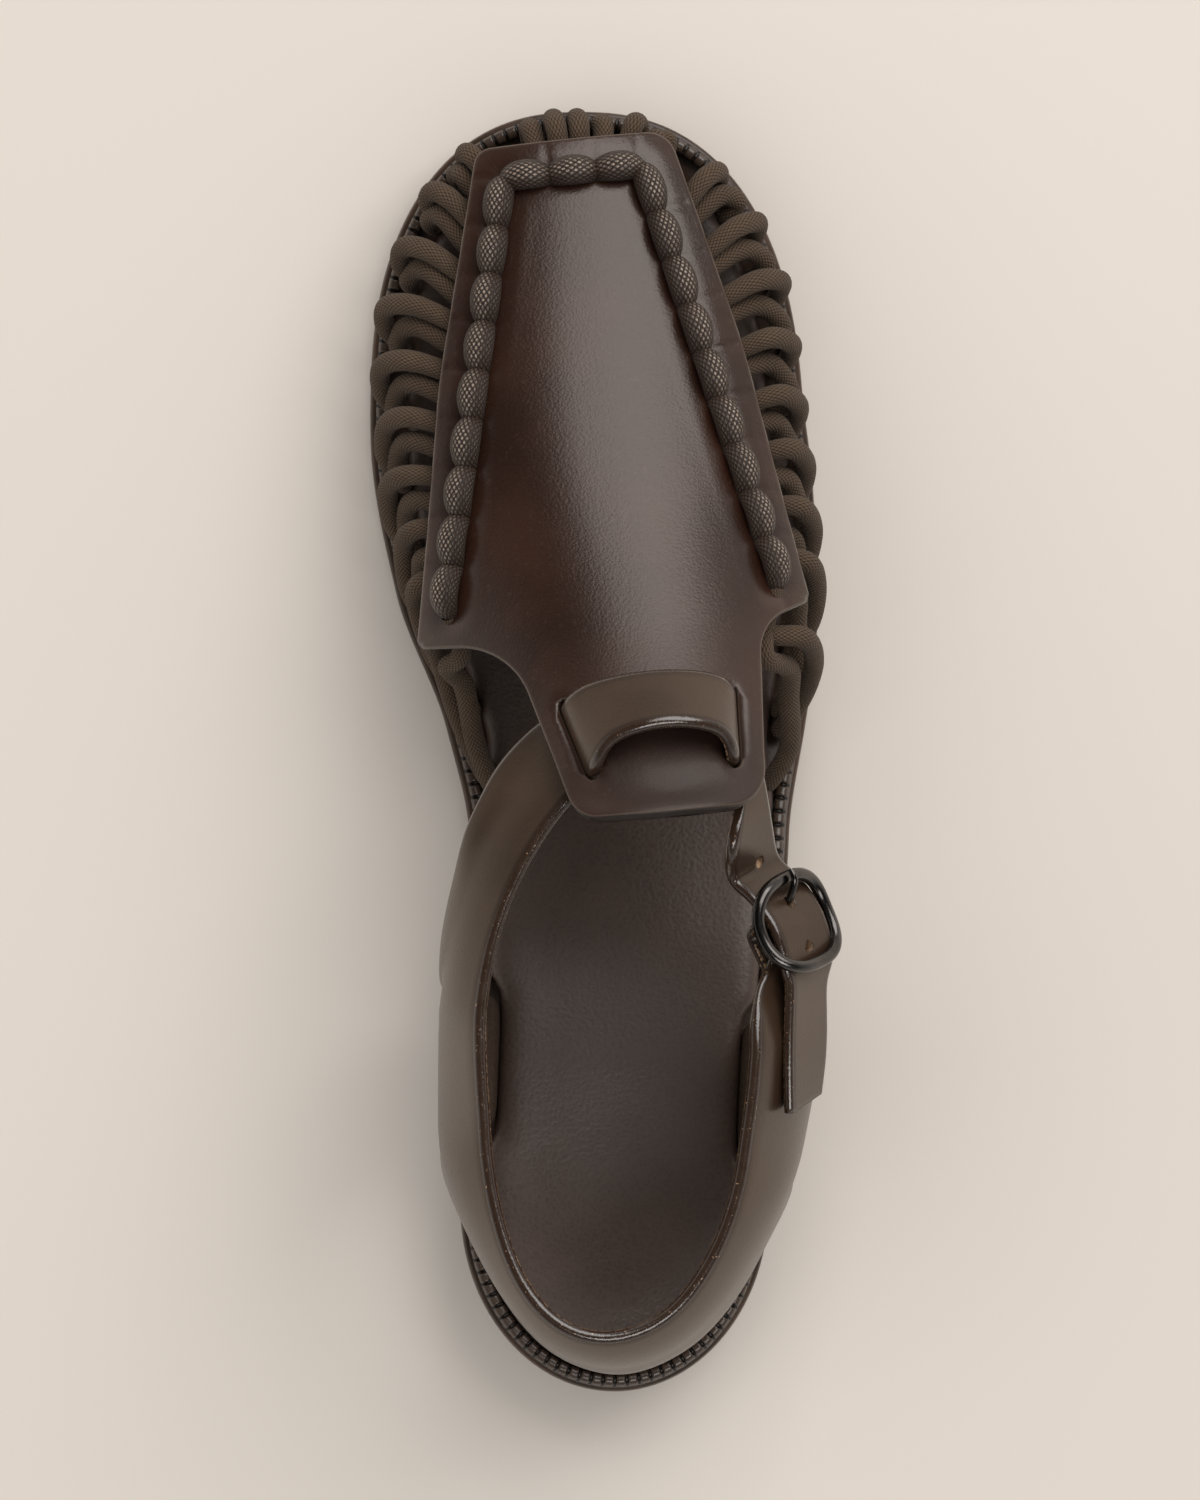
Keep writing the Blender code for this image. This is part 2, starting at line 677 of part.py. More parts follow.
def lacing_strands():
    """Two strands from each hole, out under the panel's edge and down to the welt."""
    holes = stitch_holes()
    start, end = share_of(CORD_FROM, 1), share_of(CORD_FROM, -1)
    way_round = EDGE_REACH[-1]
    strands = []
    for i, hole in enumerate(holes):
        share = start + (end - start) * i / (len(holes) - 1)
        for spread, swell, drop in ((STRAND_SPREAD, 1.0, 0.0), (-STRAND_SPREAD, 0.45, 0.0010)):
            foot = edge_point(share + spread / way_round, WELT_INSET + WELT_WIDTH / 2.0 + CORD_RADIUS)
            bulge = edge_point(share + spread / way_round, WELT_INSET + CORD_RADIUS * (1.35 - swell * 0.55))
            rim = panel_edge_from(hole, foot)
            aside = foot - edge_point(share, WELT_INSET + WELT_WIDTH / 2.0 + CORD_RADIUS)
            rim = rim + aside
            below = PANEL_WALL + CORD_RADIUS * 1.2 + CLEARANCE + drop
            rim = under_panel(rim, below + CORD_RADIUS * 0.15)
            rim_height = rim.z
            foot_height = deck(foot.y) + WELT_HEIGHT + CLEARANCE * 2.0
            lean = math.atan2((bulge - foot).length, (rim_height - foot_height) * 0.46)
            foot_height += CORD_RADIUS * math.sin(lean)
            knots = [
                under_panel(hole, -CORD_WAIST - CLEARANCE),
                under_panel(hole, PANEL_WALL + CORD_RADIUS + CLEARANCE),
                rim,
                Vector((bulge.x, bulge.y, foot_height + (rim_height - foot_height) * 0.46)),
                Vector((foot.x, foot.y, foot_height)),
            ]
            radii = [CORD_WAIST * 0.92] * 2 + [CORD_RADIUS] * 3
            strands.append(tube(knots, radii, 5))
    return strands


def make_cord(parts, cutters, material):
    cord = new_object("lacing_cord", *bead_chain(), material, parts)
    strands = new_object("cord_strands", *gathered(lacing_strands()), None, cutters)
    boolean(cord, strands, "UNION", itself=True)


# Strap

def buckle_axes():
    """Axes at the buckle's bar: along the strap towards the toe, up across the strap, and outwards."""
    along = Vector((-math.sin(BUCKLE_TURN), math.cos(BUCKLE_TURN), 0.0))
    outward = Vector((math.cos(BUCKLE_TURN) * math.cos(BUCKLE_LEAN), math.sin(BUCKLE_TURN) * math.cos(BUCKLE_LEAN),
                      math.sin(BUCKLE_LEAN)))
    upward = outward.cross(along)
    if upward.z < 0.0:
        upward.negate()
    return along, upward, outward


def at_buckle(along, up, out):
    """World point from lengths along the buckle's axes."""
    axes = buckle_axes()
    return place(BUCKLE_ALONG, BUCKLE_ACROSS, BUCKLE_HEIGHT) + axes[0] * along + axes[1] * up + axes[2] * out


ACROSS = 4


def straight_row(lower, upper):
    """Points evenly across the strap from its lower edge to its upper one."""
    return [lower.lerp(upper, k / ACROSS) for k in range(ACROSS + 1)]


def heel_rows():
    """Rows of the strap round the heel, with a bulge like the foot's and two tabs down to the welt."""
    lower_route = smooth_route([place(*row[0:3]) for row in HEEL_STRAP], 2)
    upper_route = smooth_route([place(*row[3:6]) for row in HEEL_STRAP], 2)
    centre = Vector((0.0, lay(0.20), 0.0))
    rows = []
    for i, (lower, upper) in enumerate(zip(lower_route, upper_route)):
        before, after = HEEL_STRAP[i // 2], HEEL_STRAP[(i + 1) // 2]
        tab = before[7] and after[7]
        beside_tab = before[7] or after[7]
        bulge = (max(before[6], after[6]) if beside_tab else (before[6] + after[6]) / 2.0) * BALL_WIDTH
        if beside_tab:
            along = (lower.y + HEEL_TO_ORIGIN) / LENGTH
            inset = WELT_INSET + WELT_WIDTH + CLEARANCE * 3.0 + STRAP_WALL / 2.0
            plan = edge_point(share_of(along, 1 if lower.x > 0.0 else -1), inset)
            foot = Vector((plan.x, plan.y, deck(plan.y) + CLEARANCE * 3.0))
            lower = Vector((plan.x, plan.y, foot.z + WELT_HEIGHT + CLEARANCE * 2.0 if tab else lower.z))
        points = []
        for k in range(ACROSS + 1):
            t = max(k - 1, 0) / (ACROSS - 1) if tab else k / ACROSS
            point = lower.lerp(upper, t)
            away = Vector((point.x - centre.x, min(point.y - centre.y, 0.0), 0.0)).normalized()
            rise = t**TAB_BULGE_SKEW if beside_tab else t
            points.append(point + away * bulge * 4.0 * rise * (1.0 - rise))
        if tab:
            points[0] = foot
        rows.append(points)
    return rows


def fold_rows():
    """The strap's folded end, from its inner ply round the buckle's bar to its outer ply."""
    radius = BAR_RADIUS + CLEARANCE + FOLD_WALL / 2.0
    half = STRAP_WIDTH * 0.44
    profile = [(-FOLD_LENGTH, -FOLD_WALL * 0.5 - CLEARANCE), (-FOLD_LENGTH / 2.0, -radius * 0.85)]
    for k in range(5):
        angle = -math.pi / 2.0 + math.pi * k / 4
        profile.append((radius * math.cos(angle), radius * math.sin(angle)))
    profile.append((-FOLD_LENGTH / 2.0, radius * 0.90))
    rows = []
    for along, out in profile:
        rows.append(straight_row(at_buckle(along, -half, out), at_buckle(along, half, out)))
    return rows


def arch_rows():
    """Rows of the strap over the panel's neck: up through one slot, over an arch, and down the other."""
    profile = (
        # share of the way between the slots, height over the panel's outer face in metres, share of the arch
        (-0.17, -PANEL_WALL - STRAP_WALL * 0.5 - 6.0 * CLEARANCE, 0.0),
        (-0.05, -PANEL_WALL - STRAP_WALL * 0.5 - 4.0 * CLEARANCE, 0.0),
        (0.0, -PANEL_WALL * 0.45, 0.0),
        (0.045, STRAP_WALL * 0.5 + 3.0 * CLEARANCE, 0.0),
        (0.15, 0.0, 0.68),
        (0.33, 0.0, 0.93),
        (0.5, 0.0, 1.0),
    )
    steps = list(profile) + [(1.0 - t, lift, share) for t, lift, share in reversed(profile[:-1])]
    inner, outer = SLOT_ENDS
    edges = ((0, ARCH_FRONT_HEIGHT, ARCH_FRONT_SWEEP), (2, ARCH_REAR_HEIGHT, ARCH_REAR_SWEEP))
    rows = []
    for t, lift, share in steps:
        ends = []
        for column, height, sweep in edges:
            along = inner[column] + (outer[column] - inner[column]) * t + sweep / LENGTH * share
            across = inner[column + 1] + (outer[column + 1] - inner[column + 1]) * t
            ends.append(on_panel(along, across, lift + height * share))
        rows.append(straight_row(*ends))
    return rows


def buckle_rows():
    """Rows of the strap through the buckle: under the frame's front, over the fold, under its back, and the tail."""
    half = STRAP_WIDTH / 2.0
    over_fold = BAR_RADIUS + 2.0 * CLEARANCE + FOLD_WALL + STRAP_WALL / 2.0
    profile = (
        (BUCKLE_LENGTH * 0.56, over_fold - 0.0040),
        (BUCKLE_LENGTH * 0.36, over_fold - 0.0017),
        (BUCKLE_LENGTH * 0.20, over_fold - 0.0005),
        (0.0, over_fold + 0.0002),
        (-BUCKLE_LENGTH * 0.25, over_fold - 0.0001),
    )
    return [straight_row(at_buckle(along, -half, out), at_buckle(along, half, out)) for along, out in profile]


def make_strap(parts, cutters, material):
    fold = fold_rows()
    heel = heel_rows()
    arch = arch_rows()
    front = [straight_row(place(*row[0:3]), place(*row[3:6])) for row in FRONT_STRAP]
    tail = [straight_row(place(*row[0:3]), place(*row[3:6])) for row in TAIL]
    rows = fold + heel + arch + front + buckle_rows() + tail
    walls = [FOLD_WALL] * len(fold) + [STRAP_WALL] * (len(rows) - len(fold))
    strap = new_object("ankle_strap", *ribbon(rows, walls), material, parts)
    holes = []
    for index in (-2, -1, 0):
        along = BUCKLE_LENGTH * 0.20 - HOLE_PITCH * (index + 1)
        ends = [at_buckle(along, 0.0, PUNCH_FROM), at_buckle(along, 0.0, PUNCH_TO)]
        holes.append(tube(ends, [PRONG_HOLE_RADIUS] * 2, 8))
    half = PRONG_RADIUS + CLEARANCE * 2.0
    reach = BAR_RADIUS + 3.0 * PRONG_RADIUS
    corners = [(-reach, -half), (2.0 * reach, -half), (2.0 * reach, half), (-reach, half)]
    low, high = -reach - CLEARANCE, BAR_RADIUS + CLEARANCE * 1.3 + FOLD_WALL
    slit = prism([[at_buckle(a, u, out) for a, u in corners] for out in (low, high)])
    boolean(strap, new_object("prong_holes", *gathered(holes), None, cutters), "DIFFERENCE")
    boolean(strap, new_object("prong_slit", *slit, None, cutters), "DIFFERENCE")


# Buckle

def make_buckle(parts, cutters, metal):
    """Bowed frame of round wire with a bar across its middle, and one prong."""
    over_strap = BAR_RADIUS + 3.0 * CLEARANCE + FOLD_WALL + STRAP_WALL + BUCKLE_WIRE
    dip = BAR_RADIUS + BUCKLE_WIRE
    ring = []
    steps = 28
    half_long, half_wide = BUCKLE_LENGTH / 2.0 - BUCKLE_WIRE, BUCKLE_WIDTH / 2.0 - BUCKLE_WIRE
    for i in range(steps + 1):
        angle = 2.0 * math.pi * i / steps
        cosine, sine = math.cos(angle), math.sin(angle)
        along = half_long * math.copysign(abs(cosine) ** 0.62, cosine)
        up = half_wide * math.copysign(abs(sine) ** 0.62, sine)
        out = dip + (over_strap - dip) * ease(0.0, 0.90, abs(along) / half_long)
        ring.append(at_buckle(along, up, out))
    points, faces = tube(ring[:-1], [BUCKLE_WIRE] * steps, 8)
    faces = [face for face in faces if len(face) == 4]
    last = (steps - 1) * 8
    seam = closing_turn(points, last)
    faces.extend((last + k, last + (k + 1) % 8, (k + 1 + seam) % 8, (k + seam) % 8) for k in range(8))
    frame = new_object("buckle_frame", points, faces, metal, parts)
    seat = STRAP_WIDTH / 2.0 + CLEARANCE
    bar_route = [at_buckle(0.0, up, out) for up, out in ((-half_wide, dip), (-seat, 0.0), (seat, 0.0), (half_wide, dip))]
    bar = new_object("buckle_bar", *tube(bar_route, [BAR_RADIUS] * 4, 8), None, cutters)
    boolean(frame, bar, "UNION")

    rest = over_strap + BUCKLE_WIRE + CLEARANCE + PRONG_RADIUS
    curl = BAR_RADIUS + CLEARANCE + PRONG_RADIUS
    hole = BUCKLE_LENGTH * 0.20
    knots = []
    for k in range(5):
        angle = math.radians(100.0 + 170.0 * k / 4)
        knots.append(at_buckle(curl * math.cos(angle), 0.0, curl * math.sin(angle)))
    knots.append(at_buckle(hole - 0.0012, 0.0, -curl * 0.5))
    knots.append(at_buckle(hole, 0.0, curl))
    knots.append(at_buckle(hole + 0.0004, 0.0, over_strap - BUCKLE_WIRE))
    knots.append(at_buckle(half_long - BUCKLE_WIRE, 0.0, rest - 0.0003))
    knots.append(at_buckle(half_long + BUCKLE_WIRE, 0.0, rest - 0.0001))
    new_object("buckle_prong", *tube(knots, [PRONG_RADIUS] * len(knots), 6), metal, parts)


def closing_turn(points, last):
    """How many sides a closed tube's last ring is turned against its first."""
    return min(range(8), key=lambda turn: sum((points[last + k] - points[(k + turn) % 8]).length for k in range(8)))


def build():
    for obj in list(bpy.data.objects):
        bpy.data.objects.remove(obj, do_unlink=True)
    parts = bpy.data.collections.new("t_strap_sandal")
    cutters = bpy.data.collections.new("cutters")
    bpy.context.scene.collection.children.link(parts)
    bpy.context.scene.collection.children.link(cutters)

    sole_leather = leather("sole_leather", (0.020, 0.013, 0.010), 0.45)
    smooth_leather = leather("smooth_leather", (0.040, 0.016, 0.010), 0.28)
    strap_leather = leather("strap_leather", (0.065, 0.042, 0.030), 0.40)
    footbed_leather = leather("footbed_leather", (0.050, 0.034, 0.028), 0.55)
    waxed_cord = leather("waxed_cord", (0.090, 0.065, 0.045), 0.80)
    heel_rubber = leather("heel_rubber", (0.015, 0.013, 0.012), 0.70)
    gunmetal = leather("gunmetal", (0.120, 0.115, 0.110), 0.25, 1.0)

    make_heel(parts, heel_rubber, sole_leather)
    make_outsole(parts, sole_leather)
    make_welt(parts, sole_leather)
    make_footbed(parts, footbed_leather)
    make_panel(parts, cutters, smooth_leather)
    make_cord(parts, cutters, waxed_cord)
    make_strap(parts, cutters, strap_leather)
    make_buckle(parts, cutters, gunmetal)


build()
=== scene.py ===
# Looks of a woven t-strap sandal for the right foot, dressed over its solids.
# Metres, +Z up, toe towards +Y, outer side of the foot towards +X, floor at Z = 0.

import math

import bmesh
import bpy
import numpy as np
from mathutils import Matrix, Vector, geometry


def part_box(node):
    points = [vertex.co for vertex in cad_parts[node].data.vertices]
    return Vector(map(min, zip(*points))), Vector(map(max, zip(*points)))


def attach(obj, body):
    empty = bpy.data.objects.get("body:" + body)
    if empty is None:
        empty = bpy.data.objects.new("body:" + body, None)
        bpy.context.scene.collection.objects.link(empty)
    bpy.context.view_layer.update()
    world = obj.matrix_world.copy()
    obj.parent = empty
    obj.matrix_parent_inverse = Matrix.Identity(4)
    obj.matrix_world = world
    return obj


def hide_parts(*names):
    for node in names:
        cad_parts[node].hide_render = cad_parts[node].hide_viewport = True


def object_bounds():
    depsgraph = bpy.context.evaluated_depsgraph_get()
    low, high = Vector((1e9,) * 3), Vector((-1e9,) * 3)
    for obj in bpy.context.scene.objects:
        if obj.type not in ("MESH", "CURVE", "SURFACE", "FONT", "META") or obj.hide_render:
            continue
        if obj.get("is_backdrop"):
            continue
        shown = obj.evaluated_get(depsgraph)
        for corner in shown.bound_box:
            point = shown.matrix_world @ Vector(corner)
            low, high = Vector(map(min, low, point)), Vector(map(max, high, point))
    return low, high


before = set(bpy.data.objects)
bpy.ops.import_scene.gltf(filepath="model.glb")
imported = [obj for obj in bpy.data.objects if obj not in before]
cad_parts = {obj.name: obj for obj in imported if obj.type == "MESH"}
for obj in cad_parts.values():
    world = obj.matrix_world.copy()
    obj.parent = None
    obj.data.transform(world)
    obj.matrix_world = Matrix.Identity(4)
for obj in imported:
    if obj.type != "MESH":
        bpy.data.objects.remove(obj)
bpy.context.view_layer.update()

# Outsole: one slab of dark sole leather, cut to the outline of the last and moulded to its arch and toe
# spring. Its edge is rounded and burnished. The thread that holds it to the welt runs in a closed channel
# underneath.
sole_low, sole_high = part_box("outsole")
HEEL_BACK = sole_low.y
LENGTH = sole_high.y - sole_low.y
BALL_WIDTH = 0.0925
HEEL_WIDTH = 0.0630
OUTSOLE_WALL = 0.0045
HEEL_RISE = 0.0160
TOE_SPRING = 0.0070
TOE_CURVE = 1.7
SOLE_SECTIONS = (
    # share of the length; centre and half width as shares of the ball width
    (0.000, 0.000, 0.341),
    (0.145, 0.000, 0.341),
    (0.286, 0.013, 0.342),
    (0.432, 0.037, 0.355),
    (0.516, 0.031, 0.399),
    (0.622, -0.010, 0.470),
    (0.725, -0.045, 0.490),
    (0.779, -0.056, 0.482),
    (1.000, -0.070, 0.450),
)
HEEL_CAP = 0.145
TOE_CAP = 0.782
TOE_SQUARENESS = 2.4
SHANK_FROM = 0.245
FLAT_FROM = 0.560
FLAT_TO = 0.740
EDGE_STEPS = 400
OUTSOLE_PROFILE = (
    # inset, share of the wall: from the underside's channel to the upper face
    (0.0068, 0.0),
    (0.0062, 0.050),
    (0.0056, 0.0),
    (0.0016, 0.0),
    (0.0008, 0.025),
    (0.0002, 0.120),
    (0.0000, 0.300),
    (0.0000, 0.700),
    (0.0002, 0.860),
    (0.0005, 0.960),
    (0.0011, 1.000),
)


def ease(start, end, value):
    """Smooth step from 0 at start to 1 at end."""
    t = np.clip((value - start) / (end - start), 0.0, 1.0)
    return t * t * (3.0 - 2.0 * t)


def unit(vectors):
    return vectors / np.maximum(np.linalg.norm(vectors, axis=-1, keepdims=True), 1e-9)


def between(rows, column, place):
    """Column of a table read smoothly at places in its first column, without overshoot."""
    table = np.array(rows, dtype=float)
    knots, values = table[:, 0], table[:, column]
    slopes = np.diff(values) / np.diff(knots)
    product = slopes[:-1] * slopes[1:]
    steady = product > 0.0
    tangents = np.concatenate([slopes[:1], np.zeros(len(knots) - 2), slopes[-1:]])
    tangents[1:-1] = np.where(steady, 2.0 * product / np.where(steady, slopes[:-1] + slopes[1:], 1.0), 0.0)
    place = np.clip(place, knots[0], knots[-1])
    index = np.clip(np.searchsorted(knots, place, side="right") - 1, 0, len(knots) - 2)
    span = knots[index + 1] - knots[index]
    t = (place - knots[index]) / span
    return ((2 * t**3 - 3 * t**2 + 1) * values[index] + (t**3 - 2 * t**2 + t) * span * tangents[index]
            + (3 * t**2 - 2 * t**3) * values[index + 1] + (t**3 - t**2) * span * tangents[index + 1])


def read_at(places, reach, rows):
    """Rows of numbers read in between, at places along their reach."""
    return np.stack([np.interp(places, reach, column) for column in rows.T], -1)


def reach_along(route):
    """Distance of each point of a route from its start."""
    return np.concatenate([[0.0], np.cumsum(np.linalg.norm(np.diff(route, axis=0), axis=1))])


def lay_y(along):
    """World Y of a share of the sole's length."""
    return along * LENGTH + HEEL_BACK


def along_of(y):
    return (y - HEEL_BACK) / LENGTH


def half_width(along):
    half = between(SOLE_SECTIONS, 2, along) * BALL_WIDTH
    heel_half = between(SOLE_SECTIONS, 2, HEEL_CAP) * BALL_WIDTH
    heel_share = np.clip((HEEL_CAP - along) / HEEL_CAP, 0.0, 1.0)
    toe_share = np.clip((along - TOE_CAP) / (1.0 - TOE_CAP), 0.0, 1.0)
    fit = np.where(along < HEEL_CAP, HEEL_WIDTH / 2.0 / heel_half, 1.0)
    toe = (1.0 - toe_share**TOE_SQUARENESS) ** (1.0 / TOE_SQUARENESS)
    return half * fit * np.sqrt(1.0 - heel_share**2) * toe


def sole_edge(along, side):
    centre = between(SOLE_SECTIONS, 1, along) * BALL_WIDTH
    return np.stack([centre + side * half_width(along), lay_y(along)], -1)


heel_to_toe = 0.5 - 0.5 * np.cos(np.pi * np.arange(EDGE_STEPS + 1) / EDGE_STEPS)
EDGE = np.vstack([sole_edge(heel_to_toe, 1), sole_edge(heel_to_toe[-2::-1], -1)])
REACH = reach_along(EDGE)
WAY_ROUND = REACH[-1]


def edge_at(share, inset=0.0):
    """Plan points at shares of the way round the sole, moved inwards."""
    def at(share):
        return read_at(np.mod(share, 1.0) * WAY_ROUND, REACH, EDGE)
    share = np.asarray(share, dtype=float)
    step = 0.002
    along = unit(at(share + step) - at(share - step))
    inward = np.stack([-along[..., 1], along[..., 0]], -1)
    return at(share) + inward * np.asarray(inset)[..., None]


def rim_share(plan):
    """Share of the way round the sole at its edge's nearest point."""
    return REACH[np.argmin(np.linalg.norm(EDGE[:-1] - plan, axis=1))] / WAY_ROUND


def underside(y):
    along = along_of(y)
    heel = HEEL_RISE * (1.0 - ease(SHANK_FROM, FLAT_FROM, along))
    return heel + TOE_SPRING * np.clip((along - FLAT_TO) / (1.0 - FLAT_TO), 0.0, 1.0) ** TOE_CURVE


def deck(y):
    return underside(y) + OUTSOLE_WALL


def ring(inset, height, count):
    """Ring of points round the sole at an inset, which may be a function of the way round."""
    share = np.arange(count) / count
    plan = edge_at(share, inset(share) if callable(inset) else inset)
    return np.column_stack([plan, height(plan[:, 1])])


def quads(index):
    """Faces between the neighbours in a grid of point numbers."""
    return np.stack([index[:-1, :-1], index[:-1, 1:], index[1:, 1:], index[1:, :-1]], -1).reshape(-1, 4)


def lattice(rows, columns, closed=False, looped=False):
    """Faces of a grid of points, row after row: closed joins its columns into rings, looped its rows."""
    index = np.arange(rows * columns).reshape(rows, columns)
    if closed:
        index = np.hstack([index, index[:, :1]])
    if looped:
        index = np.vstack([index, index[:1]])
    return quads(index)


def lidded(rings, across):
    """Closed body from rings of equal count: rows of points across the foot fill its two ends."""
    count, half = len(rings[0]), len(rings[0]) // 2
    points = [np.vstack(rings)]
    faces = list(lattice(len(rings), count, closed=True))
    first = count * len(rings)
    for level in (0, len(rings) - 1):
        base = level * count
        rows = np.arange(1, half)
        left, right = rings[level][rows], rings[level][count - rows]
        share = (np.arange(1, across + 1) / (across + 1))[None, :, None]
        points.append((left[:, None] * (1.0 - share) + right[:, None] * share).reshape(-1, 3))
        inner = first + np.arange((half - 1) * across).reshape(half - 1, across)
        index = np.hstack([base + rows[:, None], inner, base + count - rows[:, None]])
        faces.extend(quads(index))
        for pole, row in ((base, index[0]), (base + half, index[-1])):
            faces.extend((pole, a, b) for a, b in zip(row[:-1], row[1:]))
        first += (half - 1) * across
    return np.vstack(points), faces


def face_outward(mesh):
    shape = bmesh.new()
    shape.from_mesh(mesh)
    bmesh.ops.recalc_face_normals(shape, faces=shape.faces)
    shape.to_mesh(mesh)
    shape.free()


def add_piece(name, points, faces, materials, slot, replaced=(), face_material=None, lay=None, stored=None,
              outward=True, sharp=None):
    """Mesh piece that rides on the shoe and stands for the nodes it replaces; its slot is not used."""
    mesh = bpy.data.meshes.new(name)
    mesh.from_pydata(np.asarray(points, dtype=float).tolist(), [], [list(map(int, face)) for face in faces])
    for material in materials:
        mesh.materials.append(material)
    if face_material is not None:
        mesh.polygons.foreach_set("material_index", np.asarray(face_material, dtype=np.int32))
    if outward:
        face_outward(mesh)
    if lay is not None:
        corners = np.zeros(len(mesh.loops), dtype=np.int32)
        mesh.loops.foreach_get("vertex_index", corners)
        layer = mesh.uv_layers.new(name="lay")
        layer.data.foreach_set("uv", np.asarray(lay, dtype=np.float32)[corners].ravel())
    for key, values in (stored or {}).items():
        attribute = mesh.attributes.new(key, "FLOAT", "POINT")
        attribute.data.foreach_set("value", np.asarray(values, dtype=np.float32))
    mesh.shade_smooth()
    if sharp:
        mesh.set_sharp_from_angle(angle=math.radians(sharp))
    obj = bpy.data.objects.new(name, mesh)
    bpy.context.scene.collection.objects.link(obj)
    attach(obj, "root")
    if replaced:
        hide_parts(*replaced)
    return obj


def plug(tree, socket, value):
    """Sets a socket to a value, or links it to a wire."""
    if isinstance(value, Wire):
        tree.links.new(value.socket, socket)
    else:
        socket.default_value = value


def add_node(tree, kind, settings, sockets, output=0):
    """One shader node: its settings first, then the values or links of its sockets."""
    node = tree.nodes.new("ShaderNode" + kind)
    for key, value in settings.items():
        setattr(node, key, value)
    for key, value in sockets.items():
        plug(tree, node.inputs[key], value)
    return Wire(tree, node.outputs[output])


class Wire:
    """A shader output that can be used like a number."""

    def __init__(self, tree, socket):
        self.tree = tree
        self.socket = socket

    def math(self, operation, *terms):
        return add_node(self.tree, "Math", {"operation": operation}, dict(enumerate(terms)))

    def __add__(self, other):
        return self.math("ADD", self, other)

    def __sub__(self, other):
        return self.math("SUBTRACT", self, other)

    def __rsub__(self, other):
        return self.math("SUBTRACT", other, self)

    def __mul__(self, other):
        return self.math("MULTIPLY", self, other)

    __radd__, __rmul__ = __add__, __mul__

    def sine(self):
        return self.math("SINE", self)

    def size(self):
        return self.math("ABSOLUTE", self)

    def fraction(self):
        return self.math("FRACT", self)

    def most(self, other):
        return self.math("MAXIMUM", self, other)

    def step(self, start, end):
        """Smooth step from 0 at start to 1 at end."""
        limits = {"Value": self, "From Min": start, "From Max": end}
        return add_node(self.tree, "MapRange", {"interpolation_type": "SMOOTHSTEP"}, limits)


class Finish:
    """A Principled material under construction."""

    def __init__(self, name, **constants):
        self.material = bpy.data.materials.new(name)
        self.material.use_nodes = True
        self.tree = self.material.node_tree
        self.finish(**constants)

    def finish(self, **values):
        """Sets or links the shader's sockets and gives the material."""
        sockets = self.tree.nodes["Principled BSDF"].inputs
        for key, value in values.items():
            plug(self.tree, sockets[key.replace("_", " ").title().replace("Ior", "IOR")], value)
        return self.material

    def node(self, kind, settings=None, output=0, **sockets):
        return add_node(self.tree, kind, settings or {}, sockets, output)

    def place(self):
        return self.node("TexCoord", output="Object")

    def lay(self):
        """How far along a cord or strap (X) and across it (Y), in metres."""
        return self.node("UVMap", {"uv_map": "lay"})

    def part(self, vector, axis):
        return self.node("SeparateXYZ", output=axis, Vector=vector)

    def stored(self, name):
        """A number stored on the mesh's points."""
        return self.node("Attribute", {"attribute_name": name}, output="Fac")

    def noise(self, scale, detail, vector=None):
        vector = vector or self.place()
        return self.node("TexNoise", Vector=vector, Scale=scale, Detail=detail, Roughness=0.55)

    def fibres(self, scale, detail, vector=None, turn=0.0):
        """Noise drawn out along one way of the material."""
        drawn = self.node("Mapping", Vector=vector or self.place(), Rotation=(0.0, 0.0, turn), Scale=scale)
        return self.noise(1.0, detail, drawn)

    def pebble(self, scale, feature="SMOOTH_F1"):
        """Leather's close grain of small cells."""
        return self.node("TexVoronoi", {"feature": feature}, "Distance", Vector=self.place(), Scale=scale)

    def mix(self, factor, first, second):
        first, second = (value if isinstance(value, Wire) else (*value, 1.0) for value in (first, second))
        return add_node(self.tree, "Mix", {"data_type": "RGBA"}, {0: factor, 6: first, 7: second}, 2)

    def bump(self, height, distance, strength):
        return self.node("Bump", Height=height, Distance=distance, Strength=strength)


def sole_leather():
    """Dark burnished leather with slight mottling and fine streaks."""
    skin = Finish("sole_leather", specular_ior_level=0.5)
    grain = skin.pebble(1500.0, "F1")
    mottle = skin.noise(70.0, 4.0)
    streaks = skin.noise(900.0, 2.0)
    colour = skin.mix(mottle.step(0.3, 0.75), (0.032, 0.0165, 0.0095), (0.070, 0.038, 0.022))
    relief = grain * 0.5 + streaks
    return skin.finish(base_color=colour, roughness=mottle * 0.16 + 0.24,
                       normal=skin.bump(relief, 0.00005, 0.5))


outsole_rings = [ring(inset, lambda y, up=share: underside(y) + OUTSOLE_WALL * up, 420)
                 for inset, share in OUTSOLE_PROFILE]
add_piece("outsole_slab", *lidded(outsole_rings, 8), [sole_leather()], "sole_leather", ["outsole"])


# Heel: lifts of sole leather, pasted and nailed into a stack with a hollowed front, then trimmed, inked and
# polished. A top lift of black rubber is nailed on below them as the wearing face.
TOP_LIFT = 0.0050
HEEL_BREAST = 0.0600
BREAST_HOLLOW = 0.0036
GAP = 0.0003
LIFTS = 3
STACK_INSET = 0.0018
LIFT_FLARE = 0.0004
SEAM_DEPTH = 0.00012
SEAM_HALF = 0.00025
LINES_PER_METRE = 285.0
TOP_LIFT_PROFILE = (
    # inset, height
    (0.0026, 0.0),
    (0.0021, 0.00015),
    (0.0018, 0.0006),
    (0.0018, TOP_LIFT - 0.0003),
    (0.0021, TOP_LIFT),
)


